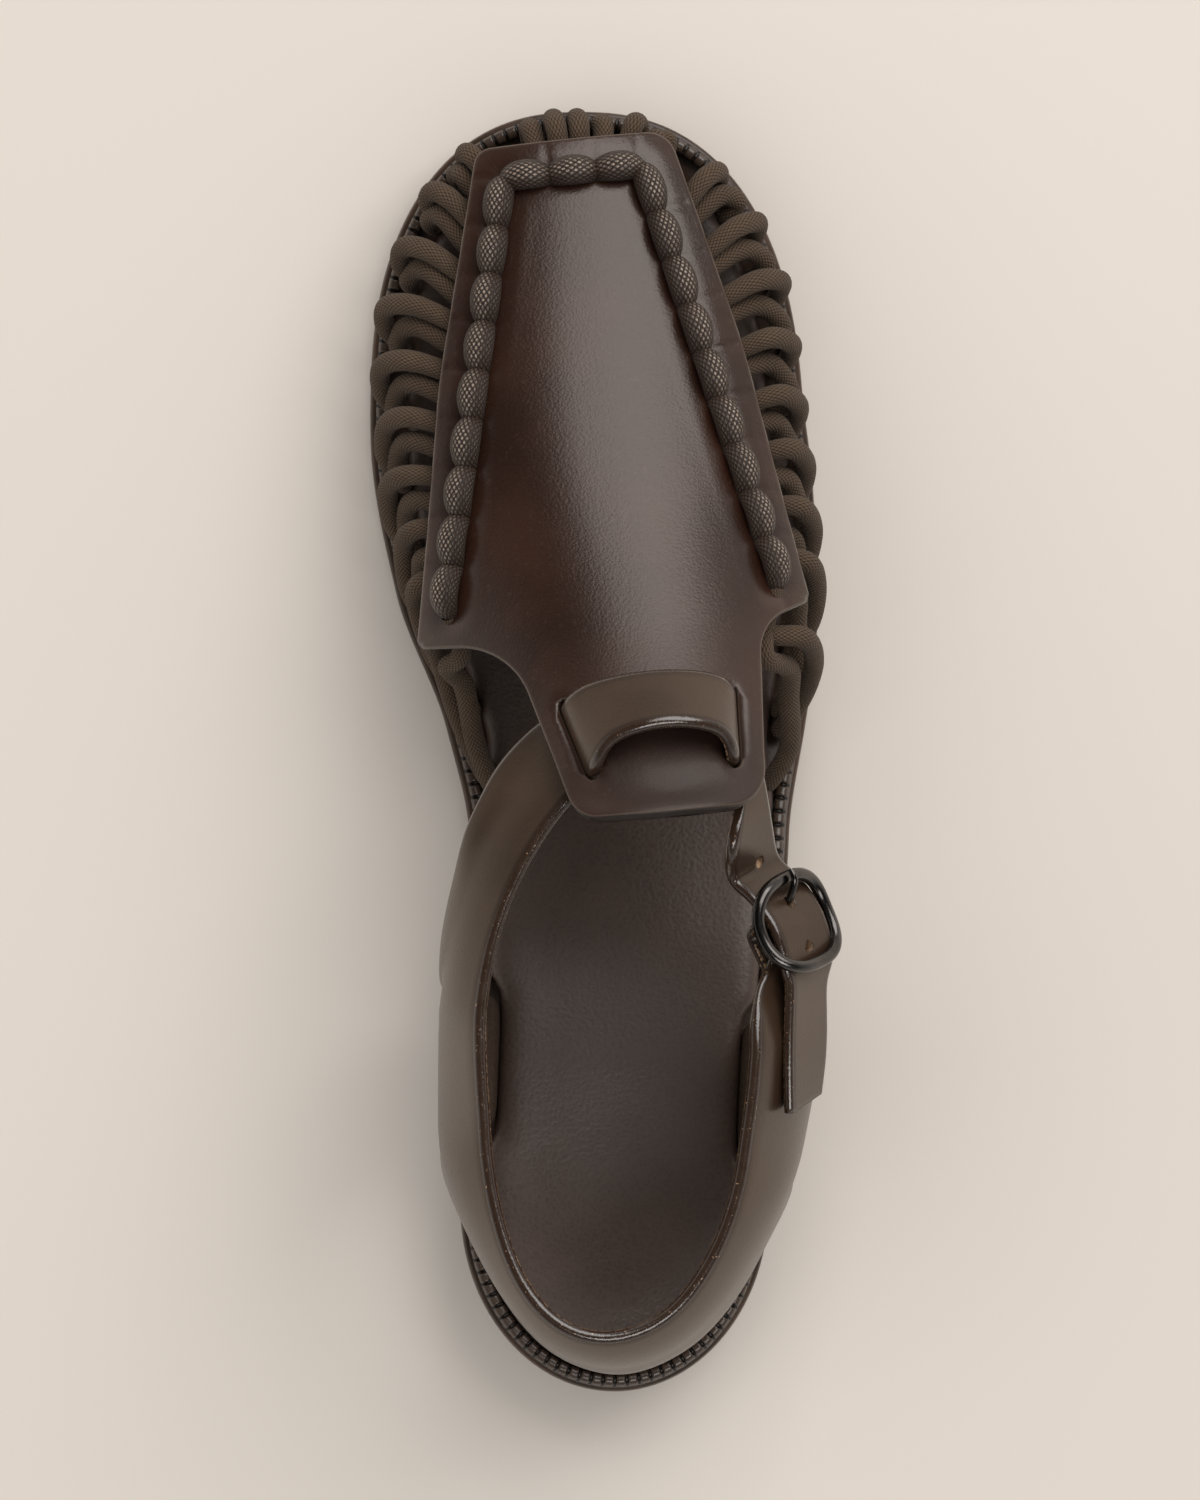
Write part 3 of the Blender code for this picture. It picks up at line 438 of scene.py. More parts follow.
def heel_ring(inset, height, count=90, breast=40):
    """Ring round the heel: the sole's own edge behind and a hollowed breast in front."""
    end = rim_share(sole_edge(HEEL_BREAST / LENGTH, 1))
    plan = edge_at(np.linspace(-end, end, count), inset)
    t = np.linspace(0.0, 1.0, breast + 2)[1:-1, None]
    front = plan[-1] * (1.0 - t) + plan[0] * t
    front[:, 1] -= BREAST_HOLLOW * np.sin(np.pi * t[:, 0])
    plan = np.vstack([plan, front])
    return np.column_stack([plan, np.full(len(plan), height)])


def solid_of(rings):
    count = len(rings[0])
    faces = [list(face) for face in lattice(len(rings), count, closed=True)]
    faces += [list(range(count)), list(range(count * (len(rings) - 1), count * len(rings)))]
    return np.vstack(rings), faces


def rubber():
    """Matt black rubber, a little dusty."""
    skin = Finish("heel_rubber", specular_ior_level=0.4)
    dust = skin.noise(240.0, 5.0)
    grain = skin.noise(2600.0, 2.0)
    colour = skin.mix(dust.step(0.45, 0.8), (0.012, 0.011, 0.010), (0.030, 0.027, 0.024))
    return skin.finish(base_color=colour, roughness=dust * 0.2 + 0.5, normal=skin.bump(grain, 0.00006, 0.5))


def stack_leather():
    """Stacked lifts: thin lines between layers, and fibres along them."""
    skin = Finish("stack_leather", specular_ior_level=0.5)
    height = skin.part(skin.place(), "Z")
    fibre = skin.fibres((60.0, 60.0, 900.0), 3.0)
    colour = skin.mix(fibre.step(0.3, 0.8), (0.012, 0.007, 0.005), (0.030, 0.018, 0.012))
    line = (height * LINES_PER_METRE).fraction()
    seam = (line - 0.5).size().step(0.44, 0.5)
    colour = skin.mix(seam, colour, (0.006, 0.004, 0.003))
    return skin.finish(base_color=colour, roughness=fibre * 0.2 + 0.26,
                       normal=skin.bump(fibre * 0.3 - seam, 0.00012, 0.7))


top_lift_rings = [heel_ring(inset, height) for inset, height in TOP_LIFT_PROFILE]
add_piece("heel_top_lift", *solid_of(top_lift_rings), [rubber()], "heel_rubber", ["top_lift"], sharp=50)
lift_edges = np.linspace(TOP_LIFT + GAP, HEEL_RISE - GAP, LIFTS + 1)
stack_rings = []
for layer, (low, high) in enumerate(zip(lift_edges, lift_edges[1:])):
    inset = STACK_INSET - LIFT_FLARE * layer
    stack_rings += [heel_ring(inset + SEAM_DEPTH, low), heel_ring(inset, low + SEAM_HALF),
                    heel_ring(inset - LIFT_FLARE / 2.0, high - SEAM_HALF)]
stack_rings.append(heel_ring(0.0007, lift_edges[-1]))
add_piece("heel_lifts", *solid_of(stack_rings), [stack_leather()], "sole_leather", ["heel_stack"], sharp=50)


# Welt: a narrow strip of dyed leather with glossy ribs, pressed in by a notched wheel. It runs round the
# whole sole beside the footbed and is stitched down to the outsole, with a smooth lip left outside it.
WELT_INSET = 0.0013
WELT_WIDTH = 0.0026
WELT_HEIGHT = 0.0028
RIB_PITCH = 0.0027
RIB_STEPS = 10
GROOVE_DEPTH = 0.0011
GROOVE_BITE = 0.0002
WELT_PROFILE = (
    # inset, height over the upper face of the outsole, how much of the groove cuts it
    (WELT_INSET, GAP, 0.0),
    (WELT_INSET - 0.0001, 0.0011, 0.0),
    (WELT_INSET + 0.0001, 0.0021, 0.8),
    (WELT_INSET + 0.0005, 0.0026, 1.0),
    (WELT_INSET + 0.0012, WELT_HEIGHT, 1.0),
    (WELT_INSET + 0.0019, WELT_HEIGHT - 0.0001, 1.0),
    (WELT_INSET + WELT_WIDTH - 0.0001, 0.0022, 0.6),
    (WELT_INSET + WELT_WIDTH, GAP, 0.0),
)


def welt_leather():
    """Glossy brown ribs, worn paler in spots, with painted shade making the grooves nearly black."""
    skin = Finish("welt_leather", specular_ior_level=0.65)
    wear = skin.noise(420.0, 3.0)
    # Painted shade: the grooves between the ribs are darkened nearly to black.
    colour = skin.mix(skin.stored("groove"), (0.058, 0.037, 0.026), (0.005, 0.003, 0.002))
    return skin.finish(base_color=skin.mix(wear.step(0.62, 0.8) * 0.4, colour, (0.13, 0.092, 0.066)),
                       roughness=wear * 0.14 + 0.20, normal=skin.bump(wear, 0.00008, 0.5))


ribs = round(WAY_ROUND / RIB_PITCH)
share = np.arange(ribs * RIB_STEPS) / (ribs * RIB_STEPS)
off_rib = np.abs(np.mod(share * ribs, 1.0) - 0.5) * 2.0
groove = ease(0.62, 0.86, off_rib)
welt_lines = []
for inset, height, cut in WELT_PROFILE:
    plan = edge_at(share, inset + GROOVE_BITE * groove * cut)
    welt_lines.append(np.column_stack([plan, deck(plan[:, 1]) + height - GROOVE_DEPTH * groove * cut]))
add_piece("ribbed_welt", np.stack(welt_lines, 1).reshape(-1, 3),
          lattice(len(share), len(WELT_PROFILE), closed=True, looped=True), [welt_leather()], "sole_leather",
          ["welt"], stored={"groove": np.repeat(groove, len(WELT_PROFILE))})


# Footbed: a matt leather cover drawn over a pad of cork and foam, with its edge rolled and polished. It is
# glued down inside the welt, dips where the heel and the ball rest, and leaves room for the cord's ends and
# for the strap's two tabs.
FOOTBED_WALL = 0.0062
CORD_RADIUS = 0.0025
STRAP_WALL = 0.0022
CORD_FROM = 0.528
CORD_SEAT = WELT_INSET + WELT_WIDTH + 2.0 * CORD_RADIUS - 0.0012
TAB_SEAT = WELT_INSET + WELT_WIDTH + STRAP_WALL + 3.0 * GAP
TAB_WIDTH = 0.0210
TABS = ((1, 0.235), (-1, 0.258))
FOOTBED_PROFILE = (
    # inset from its own edge, share of its wall
    (0.0016, 0.0),
    (0.0006, 0.03),
    (0.0001, 0.14),
    (0.0000, 0.32),
    (0.0001, 0.52),
    (0.0005, 0.70),
    (0.0012, 0.85),
    (0.0023, 0.95),
    (0.0038, 0.998),
    (0.0056, 1.00),
    (0.0080, 0.975),
    (0.0108, 0.945),
)
HOLLOWS = (
    # pressed by the heel and the ball: along, its length, middle across, its width, depth
    (0.16, 0.11, 0.000, 0.020, 0.0006),
    (0.70, 0.09, -0.004, 0.026, 0.0005),
)


def hill(distance, width):
    """Soft round hill of height 1 over a distance."""
    return np.exp(-((distance / width) ** 2))


def footbed_inset(share):
    """How far the footbed stays inside the sole's edge."""
    along = along_of(edge_at(share)[:, 1])
    inset = WELT_INSET + WELT_WIDTH + GAP
    inset = inset + (CORD_SEAT - inset) * ease(CORD_FROM - 0.075, CORD_FROM - 0.020, along)
    for side, tab_along in TABS:
        off = np.abs(along - tab_along) * LENGTH - TAB_WIDTH / 2.0
        here = (share < 0.5) == (side > 0)
        inset = inset + here * (TAB_SEAT - inset) * (1.0 - ease(0.0032, 0.0090, off))
    return inset


def footbed_leather():
    """Matt leather with a pebbled grain, thin slanting pull lines and a soft polish where it is pressed."""
    skin = Finish("footbed_leather", specular_ior_level=0.42)
    pebble = skin.pebble(1350.0)
    fine = skin.noise(3200.0, 2.0)
    pulls = skin.fibres((260.0, 1100.0, 500.0), 4.0, turn=0.7)
    worn = skin.noise(26.0, 3.0)
    colour = skin.mix(worn.step(0.3, 0.7), (0.048, 0.030, 0.023), (0.076, 0.050, 0.040))
    colour = skin.mix(pebble.step(0.0, 0.55) * 0.35, colour, (0.105, 0.073, 0.058))
    relief = pebble * 0.9 + fine * 0.25 + pulls * 0.6
    return skin.finish(base_color=colour, roughness=worn * 0.14 + 0.36,
                       normal=skin.bump(relief, 0.00012, 0.7))


footbed_rings = [ring(lambda share, extra=inset: footbed_inset(share) + extra,
                      lambda y, up=share_up: deck(y) + GAP + FOOTBED_WALL * up, 400)
                 for inset, share_up in FOOTBED_PROFILE]
points, faces = lidded(footbed_rings, 12)
upper = points[:, 2] > deck(points[:, 1]) + FOOTBED_WALL * 0.9
pressed = 0.0
for along, length, across, width, depth in HOLLOWS:
    lengthwise = hill(along_of(points[:, 1]) - along, length)
    pressed = pressed + depth * lengthwise * hill(points[:, 0] - across, width)
points[:, 2] -= upper * pressed
footbed = add_piece("padded_footbed", points, faces, [footbed_leather()], "footbed_leather", ["footbed"])


# Vamp panel: one piece of smooth red-brown leather, bent to the last over the instep. It is punched with a
# row of holes for the cord and two slots for the strap, and its cut edges are rounded, inked and polished.
INSTEP_HEIGHT = 0.0860
PANEL_WALL = 0.0026
LAST_SECTIONS = (
    # along, ridge, axis as a share of the ball width, crown
    (0.400, 1.080, 0.090, 0.640),
    (0.450, 0.975, 0.075, 0.560),
    (0.500, 0.895, 0.060, 0.480),
    (0.540, 0.835, 0.045, 0.420),
    (0.600, 0.745, 0.015, 0.350),
    (0.680, 0.640, -0.030, 0.290),
    (0.780, 0.535, -0.065, 0.260),
    (0.880, 0.440, -0.085, 0.260),
    (0.960, 0.365, -0.095, 0.300),
    (1.000, 0.315, -0.100, 0.340),
)
CROWN_POWER = 2.2
PANEL_CORNERS = (
    # along, across as a share of the ball width, corner radius in metres
    (0.966, -0.310, 0.004),
    (0.982, 0.118, 0.006),
    (0.813, 0.280, 0.140),
    (0.615, 0.420, 0.0015),
    (0.598, 0.303, 0.009),
    (0.460, 0.306, 0.008),
    (0.448, -0.104, 0.006),
    (0.579, -0.243, 0.014),
    (0.577, -0.441, 0.0015),
    (0.782, -0.393, 0.140),
)
STITCH_CORNERS = (
    # along, across: outer end, two toe corners, inner end
    (0.6255, 0.341),
    (0.9505, 0.052),
    (0.9400, -0.247),
    (0.6035, -0.372),
)
BEADS = (9, 3, 9)
SLOT_ENDS = (
    # along front, across front, along rear, across rear
    (0.5365, -0.129, 0.4810, -0.067),
    (0.5477, 0.232, 0.4897, 0.237),
)
SLOT_HALF = 0.0012
SLOT_SHORTER = 0.0008
EDGE_ROUND = 0.00065
PANEL_PITCH = 0.00085
RIM_DEPTHS = (0.00022, 0.00055, 0.00105)
RELIEF = {
    # height or depth of each swelling in the leather, and its width
    "trough under the cord": (0.00030, 0.0032),
    "ridge beside the cord": (0.00010, 0.0016),
    "pucker at a hole": (0.00060, 0.0019),
    "lip round a slot": (0.00016, 0.0016),
    "dent at a slot's end": (0.00030, 0.0020),
    "lip at the rear edge": (0.00040, 0.0018),
    "line inside that lip": (0.00022, 0.0024),
}
CREASE_DEPTH = 0.00022
CREASE_VARIES = 0.00010
CREASE_WIDTH = 0.00065
CREASE_WANDER = 0.0004
WAVE_HEIGHT = 0.00016
RUBBED_AT = (0.472, 0.090)
RUBBED_WIDTH = 0.020


def panel_top(plan):
    """Height of the panel's outer face over plan points."""
    along = along_of(plan[..., 1])
    ridge = between(LAST_SECTIONS, 1, along) * INSTEP_HEIGHT
    axis = between(LAST_SECTIONS, 2, along) * BALL_WIDTH
    crown = between(LAST_SECTIONS, 3, along) * INSTEP_HEIGHT
    return ridge - crown * (np.abs(plan[..., 0] - axis) / (BALL_WIDTH / 2.0)) ** CROWN_POWER


def panel_normal(plan):
    step = 0.0006
    slopes = [(panel_top(plan + way) - panel_top(plan - way)) / (2.0 * step) for way in step * np.eye(2)]
    return unit(np.stack([-slopes[0], -slopes[1], np.ones_like(slopes[0])], -1))


def over_panel(plan, lift):
    """Points over the panel's outer face, raised along its normal."""
    plan = np.asarray(plan, dtype=float)
    base = np.concatenate([plan, panel_top(plan)[..., None]], -1)
    return base + panel_normal(plan) * np.asarray(lift)[..., None]


def plan_of(along, across):
    return np.array([across * BALL_WIDTH, lay_y(along)])


def rounded_outline(corners, pitch=0.0008):
    """Plan outline with each corner turned to an arc of its radius, sampled evenly."""
    plan = [Vector(plan_of(along, across)) for along, across, radius in corners]
    route = []
    for i, corner in enumerate(plan):
        radius = corners[i][2]
        back = (plan[i - 1] - corner).normalized()
        ahead = (plan[(i + 1) % len(plan)] - corner).normalized()
        half = back.angle(ahead) / 2.0
        centre = corner + (back + ahead).normalized() * (radius / math.sin(half))
        start = corner + back * radius / math.tan(half) - centre
        end = corner + ahead * radius / math.tan(half) - centre
        sweep = start.angle_signed(end)
        steps = max(3, math.ceil(abs(sweep) * radius / pitch))
        for angle in (-sweep * k / steps for k in range(steps + 1)):
            route.append(centre + Vector((start.x * math.cos(angle) - start.y * math.sin(angle),
                                          start.x * math.sin(angle) + start.y * math.cos(angle))))
    closed = np.array([tuple(point) for point in (*route, route[0])])
    reach = reach_along(closed)
    return read_at(np.arange(0.0, reach[-1], pitch), reach, closed)


def away_from(points, chain, closed=False):
    """Distance of plan points from a chain of straight lines."""
    ends = np.roll(chain, -1, axis=0) if closed else chain[1:]
    best = np.full(len(points), np.inf)
    for a, b in zip(chain, ends):
        run = b - a
        t = np.clip(((points - a) @ run) / max(run @ run, 1e-12), 0.0, 1.0)
        best = np.minimum(best, np.linalg.norm(points - a - t[:, None] * run, axis=1))
    return best


def within(points, outline):
    """Which plan points lie inside a closed outline."""
    inside = np.zeros(len(points), dtype=bool)
    for a, b in zip(outline, np.roll(outline, -1, axis=0)):
        crosses = (a[1] > points[:, 1]) != (b[1] > points[:, 1])
        edge_x = a[0] + (points[:, 1] - a[1]) / (b[1] - a[1] + 1e-15) * (b[0] - a[0])
        inside ^= crosses & (points[:, 0] < edge_x)
    return inside


def slot_outline(front_along, front_across, rear_along, rear_across):
    """Plan outline of a strap slot with round ends."""
    front, rear = plan_of(front_along, front_across), plan_of(rear_along, rear_across)
    run = unit(front - rear)
    aside = np.array([-run[1], run[0]])
    front, rear = front - run * SLOT_SHORTER, rear + run * SLOT_SHORTER
    angle = np.linspace(0.0, math.pi, 7)[:, None]
    cap = (np.cos(angle) * aside + np.sin(angle) * run) * SLOT_HALF
    return np.vstack([front + cap, rear - cap])


corners = [plan_of(*corner) for corner in STITCH_CORNERS]
HOLES = [corners[0]]
for start, end, beads in zip(corners, corners[1:], BEADS):
    HOLES.extend(start + (end - start) * (k + 1) / beads for k in range(beads))
HOLES = np.array(HOLES)
PANEL_OUTLINE = rounded_outline(PANEL_CORNERS)
SLOTS = [slot_outline(*ends) for ends in SLOT_ENDS]


def panel_rim_at(plan):
    """Point of the panel's outline nearest to a plan point."""
    return PANEL_OUTLINE[np.argmin(np.linalg.norm(PANEL_OUTLINE - plan, axis=1))]


def swelling(distance, kind):
    height, width = RELIEF[kind]
    return height * hill(distance, width)


def crease(offset, number, run):
    """Depth of the fold that a stitch draws from its hole towards the panel's edge."""
    length = np.linalg.norm(run)
    run = run / length
    forward = offset @ run
    wander = CREASE_WANDER * math.sin(number * 2.4)
    sideways = offset @ np.array([-run[1], run[0]]) - wander * forward / length
    along = ease(0.0012, 0.0028, forward) * (1.0 - ease(0.75, 1.0, forward / length))
    return hill(sideways, CREASE_WIDTH) * along * (CREASE_DEPTH + CREASE_VARIES * math.sin(number * 1.7))


def panel_relief(plan):
    """Height added along the panel's normal by stitching, slots, pressed lines and slight waves."""
    chain = away_from(plan, HOLES)
    edge = away_from(plan, PANEL_OUTLINE, closed=True)
    relief = swelling(chain - 0.0050, "ridge beside the cord") * ease(0.0, 0.002, edge)
    relief = relief - swelling(chain, "trough under the cord")
    for number, hole in enumerate(HOLES):
        offset = plan - hole
        relief = relief - swelling(np.linalg.norm(offset, axis=1), "pucker at a hole")
        relief = relief - crease(offset, number, panel_rim_at(hole) - hole)
    for slot in SLOTS:
        relief = relief + swelling(away_from(plan, slot, closed=True) - 0.0014, "lip round a slot")
        for end in (slot[:7].mean(axis=0), slot[7:].mean(axis=0)):
            relief = relief - swelling(np.linalg.norm(plan - end, axis=1), "dent at a slot's end")
    rear = ease(0.040, 0.0, plan[:, 1] - lay_y(0.452))
    rear = rear * (1.0 - ease(0.0, 0.003, np.abs(plan[:, 0]) - 0.040))
    neck = 1.0 - ease(lay_y(0.47), lay_y(0.50), plan[:, 1])
    relief = relief + neck * rear * (swelling(edge - 0.0010, "lip at the rear edge")
                                     - swelling(edge - 0.0055, "line inside that lip"))
    waves = np.sin(plan[:, 0] * 95.0 + plan[:, 1] * 40.0) * np.sin(plan[:, 1] * 62.0 - plan[:, 0] * 20.0)
    return relief + WAVE_HEIGHT * waves


def panel_mesh():
    """Fine mesh of the panel in plan, with rows close to its edges, and each point's way from an edge."""
    low, high = PANEL_OUTLINE.min(axis=0), PANEL_OUTLINE.max(axis=0)
    places = (np.arange(start, end, PANEL_PITCH) for start, end in zip(low, high))
    grid = np.stack(np.meshgrid(*places), -1).reshape(-1, 2)
    loops = [PANEL_OUTLINE, *SLOTS]

    def on_leather(points):
        inside = within(points, PANEL_OUTLINE)
        for slot in SLOTS:
            inside &= ~within(points, slot)
        return inside

    clear = on_leather(grid)
    for loop in loops:
        clear &= away_from(grid, loop, closed=True) > 2.0 * PANEL_PITCH
    rows = [grid[clear]]
    for depth in RIM_DEPTHS:
        for loop in loops:
            tangent = unit(np.roll(loop, -1, axis=0) - np.roll(loop, 1, axis=0))
            side = np.stack([tangent[:, 1], -tangent[:, 0]], -1)
            inward = side if on_leather((loop + side * 1e-5)[:1])[0] else -side
            row = loop + inward * depth
            rows.append(row[away_from(row, loop, closed=True) > depth * 0.97])
    plan = np.vstack(loops + rows)
    edges, first = [], 0
    for loop in loops:
        edges.extend((first + i, first + (i + 1) % len(loop)) for i in range(len(loop)))
        first += len(loop)
    per_metre = 1000.0
    found = geometry.delaunay_2d_cdt([Vector(point * per_metre) for point in plan], edges, [], 0, 1e-5)
    plan = np.array([tuple(point) for point in found[0]]) / per_metre
    faces = np.array([face for face in found[2] if len(face) == 3])
    faces = faces[on_leather(plan[faces].mean(axis=1))]
    used, faces = np.unique(faces, return_inverse=True)
    plan, faces = plan[used], faces.reshape(-1, 3)
    return plan, faces, np.minimum.reduce([away_from(plan, loop, closed=True) for loop in loops])


def smooth_leather():
    """Polished dark red-brown leather: fine grain, slight clouding, darker burnished edges with a painted
    highlight.
    """
    skin = Finish("smooth_leather", specular_ior_level=0.62, coat_roughness=0.22, coat_weight=0.18,
                  specular_tint=(1.0, 0.91, 0.85, 1.0))
    pebble = skin.pebble(1900.0)
    fine = skin.noise(4200.0, 2.0)
    cloud = skin.noise(38.0, 3.0)
    speck = skin.noise(700.0, 2.0)
    rim = skin.stored("rim")
    colour = skin.mix(cloud.step(0.3, 0.72), (0.020, 0.0070, 0.0038), (0.036, 0.0125, 0.0068))
    colour = skin.mix(speck.step(0.60, 0.75) * 0.35, colour, (0.060, 0.029, 0.018))
    colour = skin.mix(1.0 - rim.step(0.00012, 0.00055), colour, (0.012, 0.006, 0.004))
    # Painted highlight: a light line just inside the inked edge, standing for light caught on the edge's
    # bevel.
    painted_bevel_highlight = rim.step(0.00020, 0.00034) * (1.0 - rim.step(0.00046, 0.00062))
    colour = skin.mix(painted_bevel_highlight * 0.30, colour, (0.17, 0.12, 0.085))
    roughness = pebble * 0.08 + cloud * 0.06 + skin.stored("rubbed") * 0.30 + 0.25
    return skin.finish(base_color=colour, roughness=roughness,
                       normal=skin.bump(pebble + fine * 0.35, 0.00007, 0.55))


def flesh_leather():
    """Brushed inner side of the leather."""
    skin = Finish("flesh_leather", specular_ior_level=0.25)
    nap = skin.noise(1500.0, 4.0)
    colour = skin.mix(skin.noise(60.0, 3.0), (0.040, 0.024, 0.016), (0.075, 0.047, 0.032))
    return skin.finish(base_color=skin.mix(nap.step(0.3, 0.7) * 0.4, colour, (0.11, 0.075, 0.052)),
                       roughness=nap * 0.15 + 0.72, normal=skin.bump(nap, 0.00016, 0.7))


flesh = flesh_leather()
plan, panel_faces, rim = panel_mesh()
edge_drop = EDGE_ROUND - np.sqrt(np.maximum(EDGE_ROUND**2 - np.maximum(EDGE_ROUND - rim, 0.0) ** 2, 0.0))
top = over_panel(plan, panel_relief(plan) - edge_drop)
bottom = over_panel(plan, edge_drop - PANEL_WALL)
count = len(plan)
border = {}
for a, b, c in panel_faces:
    for edge in ((a, b), (b, c), (c, a)):
        if edge[::-1] in border:
            del border[edge[::-1]]
        else:
            border[edge] = True
skirt = [(a, b, b + count, a + count) for a, b in border]
kinds = [0] * len(panel_faces) + [1] * len(panel_faces) + [0] * len(skirt)
rubbed = hill(np.linalg.norm(plan - plan_of(*RUBBED_AT), axis=1), RUBBED_WIDTH)
add_piece("vamp_leather", np.vstack([top, bottom]), [*panel_faces, *(panel_faces + count)[:, ::-1], *skirt],
          [smooth_leather(), flesh], "smooth_leather", ["vamp_panel"], face_material=kinds,
          stored={"rim": np.concatenate([rim, rim * 0.0]), "rubbed": np.tile(rubbed, 2)})


# Lacing cord: a round braid of waxed cotton, sewn with a needle through the panel's holes. It shows as a row
# of beads on the panel. From each hole a pair of loops runs out under the panel's edge and down to the welt,
# where it is caught beside the footbed.
CORD_SHARES = [rim_share(sole_edge(CORD_FROM, side)) for side in (1, -1)]
YARNS_PER_MM = 3.6
BRAID_SLANT = 0.75
BEAD_SIDES = 32
LOOP_SIDES = 20
LOOP_WIDTHS = (
    # share of the loop, half its width
    (0.0, 0.0016),
    (0.22, 0.0020),
    (0.45, 0.00222),
    (0.85, 0.0021),
    (1.0, 0.0016),
)
STRANDS = {
    # inner side of the foot, strand nearer the toe: where it leaves the panel and its height half-way; then
    # its elbow and its turn: share of the sweep round the rim, step heelward, inset, height; then its foot:
    # share of the sweep, step heelward
    (True, True): (0.0000, 0.90, (0.45, -0.0010, 0.0026, 0.62), (0.72, 0.0032, 0.0024, 0.32), (1.0, 0.0058)),
    (True, False): (0.0050, 0.80, (0.60, 0.0030, 0.0062, 0.56), (0.80, 0.0062, 0.0050, 0.26), (1.0, 0.0078)),
    (False, True): (0.0, 0.94, (0.50, -0.0022, 0.0020, 0.60), (0.62, -0.0008, 0.0022, 0.24), (0.72, 0.0014)),
    (False, False): (0.003, 0.72, (0.66, 0.0028, 0.0056, 0.5), (0.85, 0.0062, 0.0034, 0.24), (0.97, 0.0078)),
}
REAR_TRAIL = (0.0015, 0.0045, 0.0080)
TOE_LEAVE = 0.0024
TOE_SPREAD = (0.0026, 0.0028, 0.0028)
TOE_INSETS = (0.0024, 0.0026)


def smooth_route(knots, steps):
    """Points of a smooth curve through the knots."""
    knots = np.asarray(knots, dtype=float)
    before = np.concatenate([knots[:1], knots[:-2]])
    after = np.concatenate([knots[2:], knots[-1:]])
    t = (np.arange(steps) / steps).reshape((1, steps) + (1,) * (knots.ndim - 1))
    p0, p1, p2, p3 = (k[:, None] for k in (before, knots[:-1], knots[1:], after))
    curve = 0.5 * (2 * p1 + (p2 - p0) * t + (2 * p0 - 5 * p1 + 4 * p2 - p3) * t**2
                   + (3 * p1 - p0 - 3 * p2 + p3) * t**3)
    return np.concatenate([curve.reshape((-1,) + knots.shape[1:]), knots[-1:]])


def swept(route, wide, high, sides, side=None):
    """Cord round a route: points, faces, each point's way along and round it, and its height on the cord."""
    forward = unit(np.gradient(route, axis=0))
    if side is None:
        side = np.cross(forward[0], [0.0, 0.0, 1.0])
        if np.linalg.norm(side) < 1e-3:
            side = np.cross(forward[0], [0.0, 1.0, 0.0])
    sideways = []
    for direction in forward:
        side = unit(side - direction * (side @ direction))
        sideways.append(side)
    sideways = np.array(sideways)
    upward = np.cross(sideways, forward)
    angle = np.linspace(-0.5 * math.pi, 1.5 * math.pi, sides + 1)
    points = (route[:, None] + sideways[:, None] * (np.cos(angle)[:, None] * wide[:, None, None])
              + upward[:, None] * (np.sin(angle)[:, None] * high[:, None, None]))
    along = np.repeat(reach_along(route)[:, None], sides + 1, 1)
    around = np.repeat(np.linspace(0.0, 2.0 * math.pi * CORD_RADIUS, sides + 1)[None], len(route), 0)
    crown = np.sin(angle)[None] * (wide / wide.max())[:, None]
    lay = np.stack([along, around], -1)
    return points.reshape(-1, 3), lattice(len(route), sides + 1), lay.reshape(-1, 2), crown.ravel()


def joined(shapes):
    """Several shapes, each points and faces, as one."""
    points, faces, first = [], [], 0
    for shape_points, shape_faces, *_ in shapes:
        points.append(shape_points)
        faces.extend([int(i) + first for i in face] for face in shape_faces)
        first += len(shape_points)
    return np.vstack(points), faces


def cord_finish(name, dark, light, glint, fuzz):
    """Round braid: two crossing sets of yarns, painted shade between, painted glints on top, loose fibre."""
    skin = Finish(name, specular_ior_level=0.30 + 0.15 * glint, sheen_weight=fuzz, sheen_roughness=0.5)
    along, around = (skin.part(skin.lay(), axis) * 1000.0 for axis in "XY")
    yarn = (((along * BRAID_SLANT + around) * YARNS_PER_MM).sine().size()
            * ((along * BRAID_SLANT - around) * YARNS_PER_MM).sine().size())
    fibre = skin.noise(2600.0, 3.0)
    colour = skin.mix(skin.noise(150.0, 3.0) * 0.6 + fibre * 0.4, dark, light)
    # Painted shade: the gaps between the yarns are darkened.
    colour = skin.mix(1.0 - yarn.step(0.02, 0.35), colour, tuple(0.35 * c for c in dark))
    # Painted glints: a light colour on the yarns' crowns, only along the cord's upper side, where light
    # would catch the waxed yarn.
    painted_glints = yarn.step(0.42, 0.80) * fibre.step(0.36, 0.56) * skin.stored("crown").step(0.74, 1.0) * glint
    colour = skin.mix(painted_glints, colour, (0.36, 0.28, 0.22))
    return skin.finish(base_color=colour, roughness=(0.85 - 0.45 * glint) - painted_glints * 0.2 + fibre * 0.1,
                       normal=skin.bump(yarn + fibre * 0.5, 0.00022, 0.8))


def add_cord(name, cords, material, replaced=()):
    """One piece from several swept cords."""
    return add_piece(name, *joined(cords), [material], "waxed_cord", replaced, outward=False,
                     lay=np.vstack([cord[2] for cord in cords]),
                     stored={"crown": np.concatenate([cord[3] for cord in cords])})


def bead(first, last):
    """Cord between two holes of the panel: up out of one, over the leather and down into the next."""
    ends = over_panel(np.array([first, last]), 0.0)
    normal = panel_normal((first + last) / 2.0)
    run = ends[1] - ends[0]
    angle = np.linspace(0.0, math.pi, 30)
    arch = np.sin(angle)
    full = arch**0.75
    route = ends[0] + run * (0.5 - 0.455 * np.cos(angle))[:, None]
    route = route + normal * (-0.0022 + 0.0042 * full)[:, None]
    return swept(route, 0.00135 + 0.00180 * full, 0.0015 + 0.00105 * arch, BEAD_SIDES, np.cross(run, normal))


def wobble(number, turn):
    """Steady irregular value from -1 to 1."""
    return math.modf(math.sin(number * 12.9898 + turn * 78.233) * 43.7585)[0]


